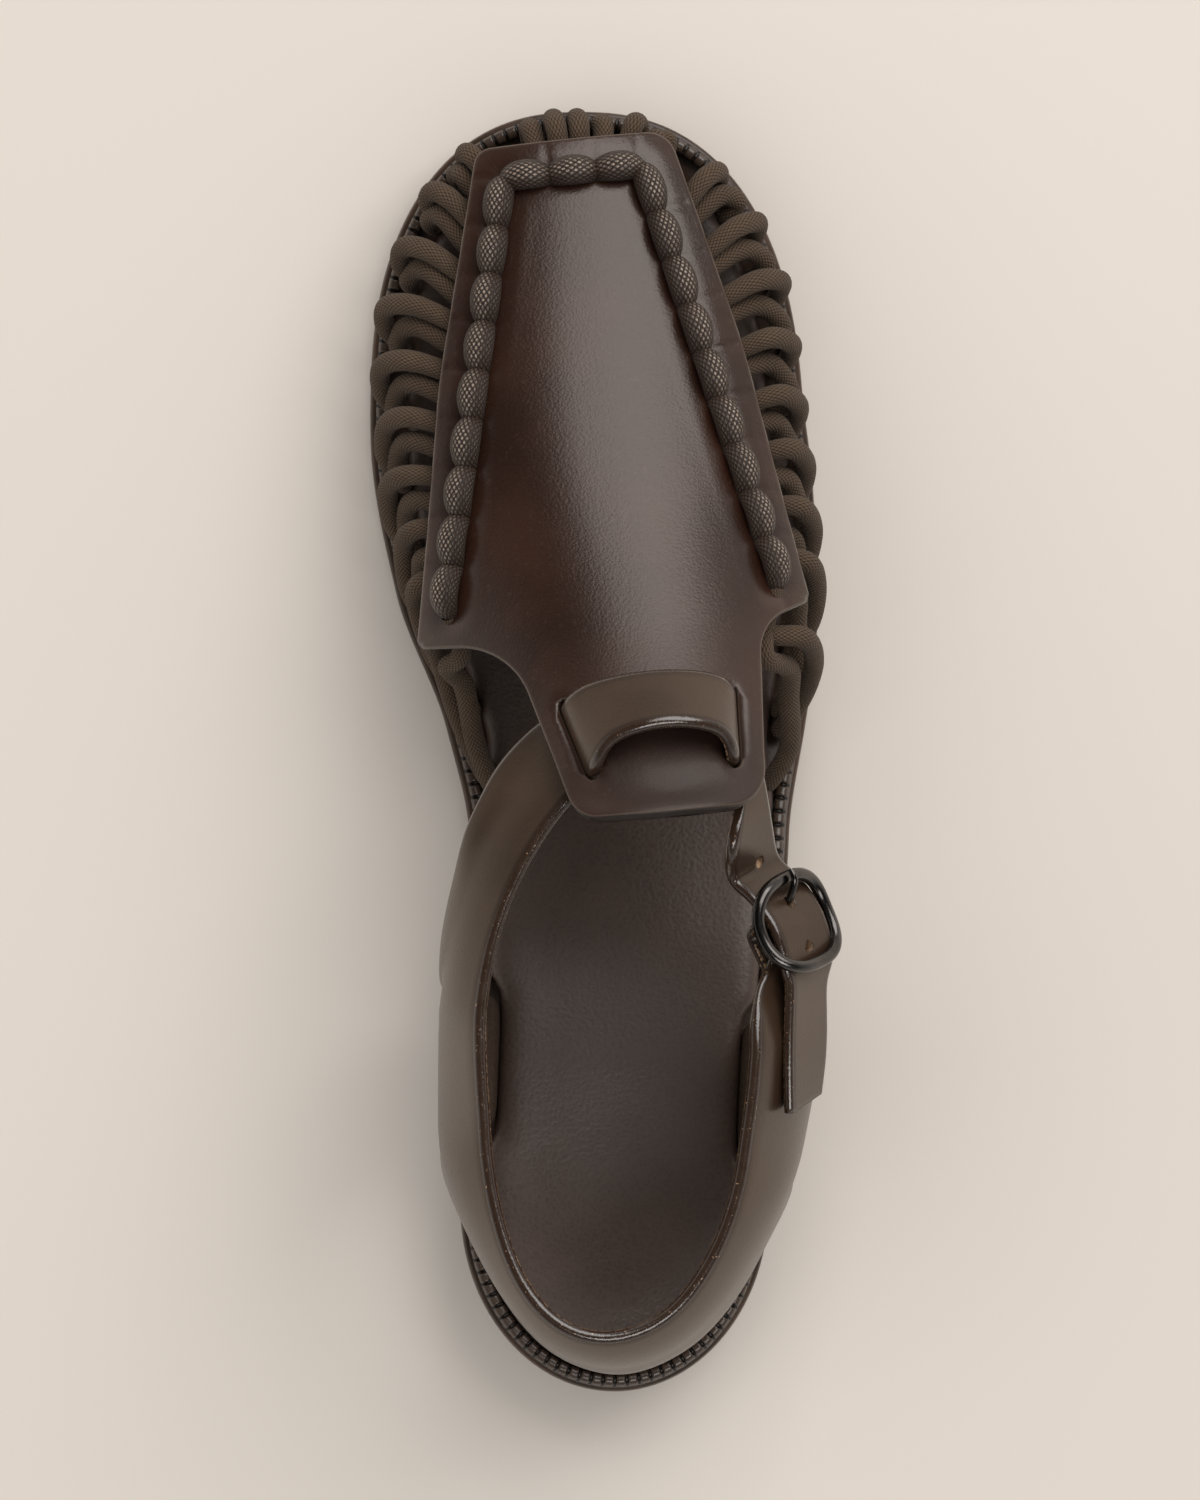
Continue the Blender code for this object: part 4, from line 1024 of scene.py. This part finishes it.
def loop(number, front):
    """One strand of a pair, from a hole out under the panel's edge and down; front is nearer the toe."""
    hole = HOLES[number]
    way = number / (len(HOLES) - 1)
    heelward = -1.0 if way < 0.5 else 1.0
    toe = math.exp(-(((way - 0.5) / 0.10) ** 2))
    trail = 1.0 - float(ease(0.0, 0.22, min(way, 1.0 - way)))
    nearest = panel_rim_at(hole)
    start = rim_share(nearest)
    sweep = (CORD_SHARES[0] + (CORD_SHARES[1] - CORD_SHARES[0]) * way - start) * heelward * WAY_ROUND
    seat = WELT_INSET + WELT_WIDTH / 2.0 + CORD_RADIUS
    loose = 0.0008 * wobble(number, 1 + front)
    lean = -1.0 if front else 1.0

    def rim(step, inset):
        return edge_at(start + heelward * step / WAY_ROUND, inset)

    def eased(own, at_toe):
        """A strand's own value, turned into the toe's as it comes near the middle of the toe."""
        return own * (1.0 - toe) + at_toe * toe

    heel_run = unit(rim(0.004, 0.0) - rim(-0.004, 0.0))
    leave_step, half_height, elbow, turn, foot = STRANDS[way > 0.55, front]
    steps = [eased(sweep * spot[0] + spot[1] + trail_step * trail, spread * lean)
             for spot, trail_step, spread in zip((elbow, turn, foot), REAR_TRAIL, TOE_SPREAD)]
    elbow_plan = rim(steps[0], eased(elbow[2], TOE_INSETS[0]) + loose)
    turn_plan = rim(steps[1], eased(turn[2], TOE_INSETS[1]) + loose * 0.5)
    foot_plan = rim(steps[2], seat if front else seat + 0.0008)
    leave = nearest + heel_run * (eased(leave_step, TOE_LEAVE * lean) + sweep * (0.14 if front else 0.20))
    leave_point = over_panel(leave, -PANEL_WALL - CORD_RADIUS - GAP - (0.0 if front else 0.0014))
    low = float(deck(foot_plan[1])) + WELT_HEIGHT + CORD_RADIUS * 0.75
    drop = leave_point[2] - low
    half_way = leave * 0.45 + elbow_plan * 0.55 - heel_run * 0.0012 * (1.0 - toe)
    knots = [
        over_panel(hole, -GAP),
        over_panel(hole * 0.5 + leave * 0.5, -PANEL_WALL - CORD_RADIUS),
        leave_point,
        np.array([*half_way, low + drop * half_height]),
        np.array([*elbow_plan, low + drop * elbow[3]]),
        np.array([*turn_plan, low + drop * turn[3]]),
        np.array([*foot_plan, low]),
        np.array([*(foot_plan + unit(hole - foot_plan) * 0.0018), low - 0.0024]),
    ]
    route = smooth_route(knots, 8)
    width = np.interp(np.linspace(0.0, 1.0, len(route)), *zip(*LOOP_WIDTHS))
    return swept(route, width, width * 0.94, LOOP_SIDES)


add_cord("bead_stitching", [bead(a, b) for a, b in zip(HOLES, HOLES[1:])],
         cord_finish("waxed_cord", (0.024, 0.0125, 0.0078), (0.066, 0.036, 0.022), 1.0, 0.03))
add_cord("loop_lacing", [loop(number, front) for number in range(len(HOLES)) for front in (False, True)],
         cord_finish("loop_cord", (0.052, 0.031, 0.0185), (0.158, 0.102, 0.062), 0.04, 0.06),
         ["lacing_cord"])


# Strap: one long strip of smooth taupe leather with painted edges. It is folded round the buckle's bar, led
# round the heel with two tabs down to the sole, and arched over the panel's neck through its slots. Its end
# is punched with holes and drawn through the buckle.
HEEL_STRAP = (
    # along lower, across lower, height lower, along upper, across upper, height upper, bulge, tab
    (0.315, 0.410, 0.610, 0.312, 0.270, 0.840, 0.004, 0.0),
    (0.300, 0.422, 0.570, 0.290, 0.268, 0.855, 0.008, 0.0),
    (0.275, 0.400, 0.200, 0.262, 0.270, 0.865, 0.150, 1.0),
    (0.195, 0.400, 0.200, 0.206, 0.250, 0.870, 0.120, 1.0),
    (0.168, 0.365, 0.440, 0.172, 0.232, 0.875, 0.050, 0.0),
    (0.140, 0.330, 0.500, 0.144, 0.212, 0.880, 0.035, 0.0),
    (0.086, 0.246, 0.560, 0.107, 0.158, 0.890, 0.030, 0.0),
    (0.048, 0.140, 0.590, 0.077, 0.090, 0.898, 0.030, 0.0),
    (0.030, 0.000, 0.600, 0.060, -0.025, 0.900, 0.030, 0.0),
    (0.048, -0.140, 0.590, 0.069, -0.138, 0.898, 0.030, 0.0),
    (0.090, -0.238, 0.555, 0.103, -0.220, 0.890, 0.030, 0.0),
    (0.150, -0.330, 0.490, 0.154, -0.268, 0.880, 0.035, 0.0),
    (0.188, -0.365, 0.430, 0.192, -0.284, 0.875, 0.050, 0.0),
    (0.218, -0.350, 0.200, 0.226, -0.292, 0.870, 0.100, 1.0),
    (0.298, -0.350, 0.200, 0.280, -0.302, 0.862, 0.100, 1.0),
    (0.330, -0.376, 0.510, 0.310, -0.296, 0.856, 0.030, 0.0),
    (0.362, -0.374, 0.600, 0.338, -0.284, 0.850, 0.020, 0.0),
    (0.404, -0.352, 0.660, 0.368, -0.262, 0.848, 0.015, 0.0),
    (0.446, -0.324, 0.715, 0.400, -0.224, 0.846, 0.010, 0.0),
    (0.492, -0.262, 0.712, 0.437, -0.172, 0.842, 0.000, 0.0),
)
FRONT_STRAP = (
    # along lower, across lower, height lower, along upper, across upper, height upper
    (0.476, 0.300, 0.745, 0.447, 0.236, 0.850),
    (0.442, 0.318, 0.700, 0.425, 0.222, 0.850),
)
TAIL = (
    (0.325, 0.438, 0.640, 0.323, 0.352, 0.812),
    (0.276, 0.440, 0.625, 0.272, 0.348, 0.805),
    (0.240, 0.428, 0.620, 0.226, 0.352, 0.782),
)
STRAP_WIDTH = 0.0160
FOLD_WALL = 0.0015
RIM_WALL = 0.0027
TAB_FOOT = 0.25
ARCH_EDGES = (
    # height over the panel, forward sweep: front edge, rear edge
    (0.0050, 0.0022),
    (0.0085, 0.0048),
)
UNDER_PANEL = -PANEL_WALL - STRAP_WALL * 0.5
ARCH_HALF = (
    # share of the way between the slots, height over the panel's outer face, share of the arch
    (-0.17, UNDER_PANEL - 6.0 * GAP, 0.0),
    (-0.05, UNDER_PANEL - 4.0 * GAP, 0.0),
    (0.0, -PANEL_WALL * 0.45, 0.0),
    (0.045, STRAP_WALL * 0.5 + 3.0 * GAP, 0.0),
    (0.15, 0.0, 0.68),
    (0.33, 0.0, 0.93),
    (0.5, 0.0, 1.0),
)
BUCKLE_PLACE = (0.365, 0.334, 0.710)
BUCKLE_TURN = math.radians(22.0)
BUCKLE_LEAN = math.radians(44.0)
BUCKLE_LENGTH = 0.0205
BAR_RADIUS = 0.0009
OVER_FOLD = BAR_RADIUS + 2.0 * GAP + FOLD_WALL + STRAP_WALL / 2.0
BUCKLE_RUN = (
    # share of the buckle's length towards the toe, height over the fold
    (0.62, -0.0042),
    (0.42, -0.0015),
    (0.22, 0.0004),
    (0.0, 0.0014),
    (-0.22, 0.0010),
    (-0.45, -0.0002),
)
PRONG_HOLE = BUCKLE_LENGTH * 0.20
HOLE_PITCH = 0.0095
HOLE_RADIUS = 0.0010
PUNCH_REACH = (0.0015, 0.0090)
COLUMNS = 17
ROW_STEPS = 4
ROW_PITCH = 0.0009
EDGE_TURNS = np.radians((60.0, 30.0, 0.0, -30.0, -60.0))


def place(along, across, height):
    """World point from shares of the length, the ball width and the instep height."""
    return np.array([across * BALL_WIDTH, lay_y(along), height * INSTEP_HEIGHT])


def straight_row(lower, upper):
    share = np.linspace(0.0, 1.0, COLUMNS)[:, None]
    return lower * (1.0 - share) + upper * share


def buckle_axes():
    """Axes at the buckle's bar: along the strap towards the toe, up across the strap, and outwards."""
    along = np.array([-math.sin(BUCKLE_TURN), math.cos(BUCKLE_TURN), 0.0])
    level = np.array([math.cos(BUCKLE_TURN), math.sin(BUCKLE_TURN), 0.0])
    outward = level * math.cos(BUCKLE_LEAN) + np.array([0.0, 0.0, math.sin(BUCKLE_LEAN)])
    upward = np.cross(outward, along)
    return along, upward * math.copysign(1.0, upward[2]), outward


def at_buckle(along, up, out):
    axes = buckle_axes()
    return place(*BUCKLE_PLACE) + axes[0] * along + axes[1] * up + axes[2] * out


def rows_at_buckle(profile, half):
    """Straight rows across the strap, from how far along and how far outward each lies."""
    return [straight_row(*(at_buckle(along, up, out) for up in (-half, half))) for along, out in profile]


def belly(share):
    """Rise from 0 to 1 and back over a share."""
    return 4.0 * share * (1.0 - share)


def heel_rows(steps=6):
    """Rows of the strap round the heel, bulged like the foot, with two tabs down to the welt."""
    table = np.array(HEEL_STRAP)
    lower = smooth_route([place(*row[0:3]) for row in HEEL_STRAP], steps)
    upper = smooth_route([place(*row[3:6]) for row in HEEL_STRAP], steps)
    spot = np.arange(len(lower)) / steps
    tab = np.interp(spot, np.arange(len(table)), table[:, 7])
    is_tab = table[:, 7] > 0.5
    plain_swell, tab_swell = (np.interp(spot, np.flatnonzero(kind), table[kind, 6]) * BALL_WIDTH
                              for kind in (~is_tab, is_tab))
    off_tab = tab < 0.01
    plain_lower = read_at(spot, spot[off_tab], lower[off_tab])
    seat = WELT_INSET + WELT_WIDTH + GAP * 3.0 + STRAP_WALL / 2.0
    share = np.linspace(0.0, 1.0, COLUMNS)[:, None]
    climb = np.clip((share - TAB_FOOT) / (1.0 - TAB_FOOT), 0.0, 1.0)
    skew = climb**0.65
    rows = []
    spots = zip(lower, plain_lower, upper, tab, plain_swell, tab_swell)
    for low, rest_low, high, near, swell, deep in spots:
        channel = edge_at(rim_share(sole_edge(along_of(low[1]), 1 if low[0] > 0.0 else -1)), seat)
        foot = np.array([*channel, float(deck(channel[1])) + GAP * 3.0])
        crest = foot + np.array([0.0, 0.0, WELT_HEIGHT + GAP * 2.0])
        out = unit(np.array([high[0], min(high[1] - lay_y(0.20), 0.0), 0.0]))
        plain = straight_row(rest_low, high) + out * swell * belly(share)
        tabbed = np.where(share < TAB_FOOT, foot + (crest - foot) * share / TAB_FOOT,
                          crest + (high - crest) * climb) + out * deep * belly(skew)
        settled = float(ease(0.10, 0.95, near))
        row = plain * (1.0 - settled) + tabbed * settled
        wanted = (plain @ out).max() * (1.0 - settled) + (tabbed @ out).max() * settled
        rows.append(row + out * (wanted - (row @ out).max()) * belly(skew))
    return rows


def fold_rows():
    """The folded end, from its inner ply round the buckle's bar to its outer ply."""
    radius = BAR_RADIUS + GAP + FOLD_WALL / 2.0
    profile = [(-0.0090, -FOLD_WALL * 0.5 - GAP), (-0.0045, -radius * 0.85)]
    for angle in np.linspace(-math.pi / 2.0, math.pi / 2.0, 7):
        profile.append((radius * math.cos(angle), radius * math.sin(angle)))
    profile.append((-0.0045, radius * 0.90))
    return rows_at_buckle(profile, STRAP_WIDTH * 0.44)


def arch_rows():
    """Rows over the panel's neck: up through one slot, over an arch, and down the other."""
    steps = [*ARCH_HALF, *((1.0 - t, lift, part) for t, lift, part in reversed(ARCH_HALF[:-1]))]
    inner, outer = np.array(SLOT_ENDS)
    rows = []
    for t, lift, part in steps:
        spot = inner + (outer - inner) * t
        rows.append(straight_row(*(
            over_panel(plan_of(spot[column] + sweep / LENGTH * part, spot[column + 1]), lift + height * part)
            for column, (height, sweep) in zip((0, 2), ARCH_EDGES))))
    return rows


def evened(rows, pitch):
    """Rows read again at an even pitch along the strap, the place of each new row, and of each old one."""
    reach = reach_along(rows[:, COLUMNS // 2])
    places = np.linspace(0.0, reach[-1], int(reach[-1] / pitch) + 1)
    return read_at(places, reach, rows.reshape(len(rows), -1)).reshape(-1, *rows.shape[1:]), places, reach


def relaxed(rows, amount, passes):
    """Rows eased towards the mean of their neighbours, each point by its own amount up to 1."""
    amount = 0.5 * amount[1:-1, :, None]
    for _ in range(passes):
        rows[1:-1] += amount * ((rows[:-2] + rows[2:]) / 2.0 - rows[1:-1])
    return rows


def strap_mesh(rows, walls):
    """Strip with round edges: its grain side, its flesh side, and the painted edges between them."""
    across = unit(np.gradient(rows, axis=1))
    normal = unit(np.cross(unit(np.gradient(rows, axis=0)), across))
    half = (walls / 2.0)[:, :, None]
    share = np.linspace(0.0, 1.0, COLUMNS)
    width = np.linalg.norm(np.diff(rows, axis=1), axis=2).sum(axis=1)
    inset = half[:, [0, -1], 0] / width[:, None]
    spots = (inset[:, :1] + share * (1.0 - inset.sum(axis=1, keepdims=True))) * (COLUMNS - 1)
    before = np.clip(spots.astype(int), 0, COLUMNS - 2)
    part = (spots - before)[..., None]
    line = np.arange(len(rows))[:, None]
    centre = rows[line, before] * (1.0 - part) + rows[line, before + 1] * part
    turns = len(EDGE_TURNS)
    sections = [centre - normal * half]
    for edge, sign in ((-1, 1.0), (0, -1.0)):
        for angle in EDGE_TURNS:
            lift = normal[:, edge] * (-math.sin(angle) * sign) * half[:, edge]
            reach = across[:, edge] * sign * half[:, edge] * math.cos(angle)
            sections.append((centre[:, edge] + lift + reach)[:, None])
        if edge == -1:
            sections.append((centre + normal * half)[:, ::-1])
    section = np.concatenate(sections, axis=1)
    row_count, loop_count = section.shape[:2]
    points, faces = solid_of(list(section))
    grain_end, nap_start, nap_end = COLUMNS - 1, COLUMNS + turns, 2 * COLUMNS + turns - 1
    kind = np.ones(loop_count, dtype=int)
    kind[:grain_end] = 0
    kind[nap_start:nap_end] = 2
    kinds = [*np.tile(kind, row_count - 1), 1, 1]
    over = np.concatenate([share, [1.0] * turns, share[::-1], [0.0] * turns])
    along = np.repeat(reach_along(rows[:, COLUMNS // 2])[:, None], loop_count, 1)
    lay = np.stack([along, over[None] * width[:, None]], -1)
    margin = np.minimum(over, 1.0 - over)[None] * width[:, None]
    raw = np.zeros(loop_count)
    raw[[nap_start - 1, nap_start, nap_end, nap_end + 1]] = 1.0
    stored = {"margin": margin.ravel(), "raw": np.tile(raw, row_count)}
    return points, faces, kinds, lay.reshape(-1, 2), stored


def strap_leather():
    """Smooth taupe leather with a close grain, soft pull marks along it and a pressed line by each edge."""
    skin = Finish("strap_leather", specular_ior_level=0.60, coat_weight=0.12, coat_roughness=0.24,
                  specular_tint=(1.0, 0.86, 0.72, 1.0))
    pebble = skin.pebble(2100.0)
    cloud = skin.noise(45.0, 3.0)
    pulls = skin.fibres((120.0, 1500.0, 1.0), 3.0, skin.lay())
    colour = skin.mix(cloud.step(0.3, 0.72), (0.032, 0.0175, 0.0105), (0.052, 0.0300, 0.0180))
    pressed = 1.0 - skin.stored("margin").step(0.0002, 0.0016)
    colour = skin.mix(pressed * 0.75, colour, (0.020, 0.011, 0.008))
    relief = pebble + skin.noise(4200.0, 2.0) * 0.35 + pulls * 0.25
    return skin.finish(base_color=colour, roughness=pebble * 0.08 + cloud * 0.06 + 0.26,
                       normal=skin.bump(relief, 0.00006, 0.5))


def edge_paint():
    """Dark painted edge with a soft gloss, tiny chips and the raw leather showing through in specks."""
    skin = Finish("edge_paint", specular_ior_level=0.85, coat_weight=0.5, coat_roughness=0.12)
    speck = skin.noise(1600.0, 2.0)
    run = skin.noise(300.0, 3.0)
    bare = skin.stored("raw").step(0.25, 0.70) * speck.step(0.44, 0.52)
    colour = skin.mix(run, (0.026, 0.013, 0.0078), (0.046, 0.025, 0.015))
    colour = skin.mix(speck.step(0.68, 0.74).most(bare), colour, (0.38, 0.23, 0.13))
    return skin.finish(base_color=colour, roughness=run * 0.12 + 0.15,
                       normal=skin.bump(speck + run, 0.00010, 0.6))


def raw_leather():
    """Cut fibre inside a punched hole."""
    skin = Finish("raw_leather", specular_ior_level=0.3)
    fibre = skin.noise(2200.0, 4.0)
    return skin.finish(base_color=skin.mix(fibre, (0.16, 0.085, 0.045), (0.50, 0.34, 0.21)),
                       roughness=fibre * 0.1 + 0.8, normal=skin.bump(fibre, 0.0002, 0.9))


def punch(obj, cutters):
    """Cuts holes through a piece and keeps the cutters' own finish on their walls."""
    modifier = obj.modifiers.new("punch", "BOOLEAN")
    modifier.object = cutters
    modifier.operation = "DIFFERENCE"
    modifier.material_mode = "TRANSFER"
    bpy.context.view_layer.update()
    cut = bpy.data.meshes.new_from_object(obj.evaluated_get(bpy.context.evaluated_depsgraph_get()))
    obj.modifiers.clear()
    obj.data = cut
    bpy.data.objects.remove(cutters)


def hole_punches(material):
    """Cutters for the row of holes at the buckle, each a little out of round."""
    angle = np.linspace(0.0, 2.0 * math.pi, 17)[:-1]
    punches = []
    for number in (-1, 0, 1):
        along = PRONG_HOLE - HOLE_PITCH * number
        radius = HOLE_RADIUS * (1.0 + 0.08 * np.sin(angle * 3.0 + number))
        spots = list(zip(along + radius * np.cos(angle), radius * np.sin(angle)))
        punches.append(solid_of([np.array([at_buckle(*spot, out) for spot in spots])
                                 for out in PUNCH_REACH]))
    points, faces = joined(punches)
    mesh = bpy.data.meshes.new("punches")
    mesh.from_pydata(points.tolist(), [], faces)
    mesh.materials.append(material)
    face_outward(mesh)
    obj = bpy.data.objects.new("punches", mesh)
    bpy.context.scene.collection.objects.link(obj)
    return obj


front, tail = ([straight_row(place(*row[0:3]), place(*row[3:6])) for row in table]
               for table in (FRONT_STRAP, TAIL))
fold, heel, arch = fold_rows(), heel_rows(), arch_rows()
at_frame = rows_at_buckle([(BUCKLE_LENGTH * along, OVER_FOLD + out) for along, out in BUCKLE_RUN],
                          STRAP_WIDTH / 2.0)
control = np.array([*fold, *heel, *arch, *front, *at_frame, *tail])
strap_rows, places, reach = evened(smooth_route(control, ROW_STEPS), ROW_PITCH)
marks = reach[::ROW_STEPS]
fold_end, arch_start = marks[len(fold)], marks[len(fold) + len(heel)]
arch_end = marks[len(fold) + len(heel) + len(arch) - 1]
places = places[:, None]
up_strap = np.linspace(0.0, 1.0, COLUMNS)[None, :]
free = ease(fold_end - 0.004, fold_end + 0.001, places)
joins = hill(places - arch_start + 0.004, 0.012) + hill(places - arch_end - 0.008, 0.012)
heel_part = free * (1.0 - ease(arch_start - 0.006, arch_start, places))
strap_rows = relaxed(strap_rows, free, 5)
strap_rows = relaxed(strap_rows, np.clip(joins, 0.0, 1.0), 60)
strap_rows = relaxed(strap_rows, heel_part * ease(0.12, 0.45, up_strap), 110)
strap_rows = relaxed(strap_rows, ease(marks[-len(tail)], marks[-len(tail) + 1], places), 30)
at_ring = ease(marks[-len(tail) - 7], marks[-len(tail) - 5], places)
rim_wall = FOLD_WALL + (RIM_WALL - FOLD_WALL) * ease(fold_end - 0.001, fold_end + 0.006, places)
rim_wall = rim_wall * (1.0 - at_ring) + STRAP_WALL * at_ring
walls = STRAP_WALL + (rim_wall - STRAP_WALL) * (1.0 - heel_part * (1.0 - ease(0.2, 0.8, up_strap)))
points, faces, kinds, lay, stored = strap_mesh(strap_rows, walls)
cut_fibre = raw_leather()
strap = add_piece("ankle_strap_leather", points, faces, [strap_leather(), edge_paint(), flesh, cut_fibre],
                  "strap_leather", ["ankle_strap"], face_material=kinds, lay=lay, stored=stored)
punch(strap, hole_punches(cut_fibre))


# Buckle: an oval frame with its bar, cast in one piece, bowed over the strap and finished in dark gunmetal.
# The prong is a round wire, bent about the bar, through a punched hole and onto the frame.
BUCKLE_WIRE = 0.0013
BUCKLE_WIDTH = 0.0222
PRONG_RADIUS = 0.0008
OVAL_POWER = 0.74
FRAME_STEPS = 96
FRAME_SIDES = 18
BAR_SIDES = 12
PRONG_SIDES = 14
OVER_STRAP = BAR_RADIUS + 3.0 * GAP + FOLD_WALL + STRAP_WALL + BUCKLE_WIRE
HALF_LONG = BUCKLE_LENGTH / 2.0 - BUCKLE_WIRE
HALF_WIDE = BUCKLE_WIDTH / 2.0 - BUCKLE_WIRE
BAR_SEAT = STRAP_WIDTH / 2.0 + GAP


def dark_metal():
    """Gunmetal with a slight haze and fine polishing lines."""
    skin = Finish("gunmetal", metallic=1.0)
    haze = skin.noise(180.0, 4.0)
    lines = skin.fibres((300.0, 4000.0, 300.0), 2.0)
    colour = skin.mix(haze.step(0.3, 0.7), (0.075, 0.070, 0.066), (0.130, 0.122, 0.115))
    return skin.finish(base_color=colour, roughness=haze * 0.12 + 0.16,
                       normal=skin.bump(lines, 0.00002, 0.3))


def hoop(route, radius, sides):
    """Closed round rod along a route."""
    forward = unit(np.roll(route, -1, axis=0) - np.roll(route, 1, axis=0))
    side = unit(np.cross(forward, buckle_axes()[2]))
    other = np.cross(side, forward)
    angle = np.linspace(0.0, 2.0 * math.pi, sides + 1)[:-1, None]
    rings = [centre + (s * np.cos(angle) + o * np.sin(angle)) * radius
             for centre, s, o in zip(route, side, other)]
    return np.vstack(rings), lattice(len(route), sides, closed=True, looped=True)


def side_height(up):
    """How far out the middle of the frame's side lies: it dips towards the bar, more on the upper side."""
    return OVER_STRAP - 0.0020 - 0.0006 * up / HALF_WIDE


frame_route = []
for angle in np.linspace(0.0, 2.0 * math.pi, FRAME_STEPS + 1)[:-1]:
    along, up = (half * math.copysign(abs(turn) ** OVAL_POWER, turn)
                 for half, turn in ((HALF_LONG, math.cos(angle)), (HALF_WIDE, math.sin(angle))))
    dip = (OVER_STRAP - side_height(up)) * (1.0 - (along / HALF_LONG) ** 2)
    frame_route.append(at_buckle(along, up, OVER_STRAP - dip))
bar_half = ((HALF_WIDE, None), (BAR_SEAT + 0.0008, 0.0012), (BAR_SEAT, 0.0))
bar_knots = [at_buckle(0.0, up, side_height(up) if out is None else out)
             for up, out in (*((-up, out) for up, out in bar_half), *reversed(bar_half))]
bar_radii = np.full(len(bar_knots), BAR_RADIUS)
metal = dark_metal()
frame = joined([hoop(np.array(frame_route), BUCKLE_WIRE, FRAME_SIDES),
                swept(np.array(bar_knots), bar_radii, bar_radii, BAR_SIDES)])
add_piece("buckle_ring", *frame, [metal], "gunmetal", ["buckle_frame"], sharp=60)

curl = BAR_RADIUS + GAP + PRONG_RADIUS
on_frame = OVER_STRAP + BUCKLE_WIRE + GAP + PRONG_RADIUS
prong_knots = [at_buckle(curl * math.cos(angle), 0.0, curl * math.sin(angle))
               for angle in np.radians(np.linspace(100.0, 270.0, 7))]
prong_knots += [at_buckle(along, 0.0, out) for along, out in (
    (PRONG_HOLE - 0.0012, -curl * 0.5),
    (PRONG_HOLE, curl),
    (PRONG_HOLE + 0.0004, OVER_STRAP - BUCKLE_WIRE),
    (HALF_LONG - BUCKLE_WIRE, on_frame - 0.0003),
    (HALF_LONG + BUCKLE_WIRE, on_frame - 0.0001),
)]
prong_route = smooth_route(prong_knots, 6)
count = len(prong_route)
radii = PRONG_RADIUS * np.interp(np.arange(count), (0, count - 8, count - 1), (1.0, 0.95, 0.62))
points, faces = swept(prong_route, radii, radii, PRONG_SIDES, buckle_axes()[1])[:2]
last_ring = (PRONG_SIDES + 1) * (count - 1)
faces = [*faces, range(PRONG_SIDES), range(last_ring, last_ring + PRONG_SIDES)]
add_piece("buckle_tongue", points, faces, [metal], "gunmetal", ["buckle_prong"], sharp=60)


# Studio: a sheet of pale paper under the shoe, one large soft light from beyond the toe, a weak fill and a
# glow seen only in the gloss at the heel. The camera stands high above with a long lens, a little to the
# inner side of the foot.
CAMERA_PLACE = Vector((-0.0513, 0.1044, 1.500))
AIM = Vector((-0.0030, 0.1010, 0.0200))
FRAME_HEIGHT = 0.310
PAPER_REACH = 3


def paper():
    skin = Finish("pale_floor", specular_ior_level=0.2, roughness=0.9)
    return skin.finish(base_color=skin.mix(skin.noise(3.0, 2.0), (0.74, 0.675, 0.61), (0.78, 0.715, 0.65)))


def soft_box(name, place, target, size, power, colour, shines=True, lights=True):
    """Rectangular soft light turned to a target."""
    data = bpy.data.lights.new(name, "AREA")
    data.shape = "RECTANGLE"
    data.size, data.size_y = size
    data.energy = power
    data.color = colour
    light = bpy.data.objects.new(name, data)
    light.location = place
    light.rotation_euler = (Vector(target) - Vector(place)).to_track_quat("-Z", "Y").to_euler()
    light.visible_glossy = shines
    light.visible_diffuse = lights
    bpy.context.scene.collection.objects.link(light)


floor_mesh = bpy.data.meshes.new("floor")
paper_corners = [(PAPER_REACH * x, PAPER_REACH * y, 0) for x, y in ((-1, -1), (1, -1), (1, 1), (-1, 1))]
floor_mesh.from_pydata(paper_corners, [], [(0, 1, 2, 3)])
floor_mesh.materials.append(paper())
floor = bpy.data.objects.new("floor", floor_mesh)
bpy.context.scene.collection.objects.link(floor)
floor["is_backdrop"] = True

WARM = (1.0, 0.98, 0.96)
COOL = (0.97, 0.98, 1.0)
soft_box("key_light", (0.72, 1.35, 1.60), (0.0, 0.10, 0.0), (1.9, 1.6), 31.0, WARM)
soft_box("fill_light", (-1.5, -0.4, 1.7), (0.0, 0.10, 0.0), (1.6, 1.6), 5.0, COOL, shines=False)
soft_box("heel_glow", (0.30, -0.75, 1.70), (0.0, 0.0, 0.05), (1.1, 0.6), 9.0, WARM, lights=False)

world = bpy.data.worlds.new("studio")
world.use_nodes = True
sky = world.node_tree
direction = add_node(sky, "TexCoord", {}, {}, "Generated")
height = add_node(sky, "SeparateXYZ", {}, {"Vector": direction}, "Z")
seen_in_gloss = add_node(sky, "MapRange", {}, {"Value": height, "From Min": 0.05, "From Max": 0.60,
                                               "To Min": 0.60, "To Max": 0.01})
glossy = add_node(sky, "LightPath", {}, {}, "Is Glossy Ray")
strength = add_node(sky, "Mix", {}, {"Factor": glossy, "A": 0.57, "B": seen_in_gloss})
plug(sky, sky.nodes["Background"].inputs["Strength"], strength)
plug(sky, sky.nodes["Background"].inputs["Color"], (1.0, 0.985, 0.965, 1.0))
bpy.context.scene.world = world
bpy.context.scene.view_settings.view_transform = "Standard"

camera_data = bpy.data.cameras.new("camera")
camera = bpy.data.objects.new("camera", camera_data)
bpy.context.scene.collection.objects.link(camera)
bpy.context.scene.camera = camera
back = (CAMERA_PLACE - AIM).normalized()
right = Vector((0.0, 1.0, 0.0)).cross(back).normalized()
camera.rotation_euler = Matrix((right, back.cross(right), back)).transposed().to_euler()
camera.location = CAMERA_PLACE
camera_data.lens = camera_data.sensor_width * CAMERA_PLACE.z / FRAME_HEIGHT

low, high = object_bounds()
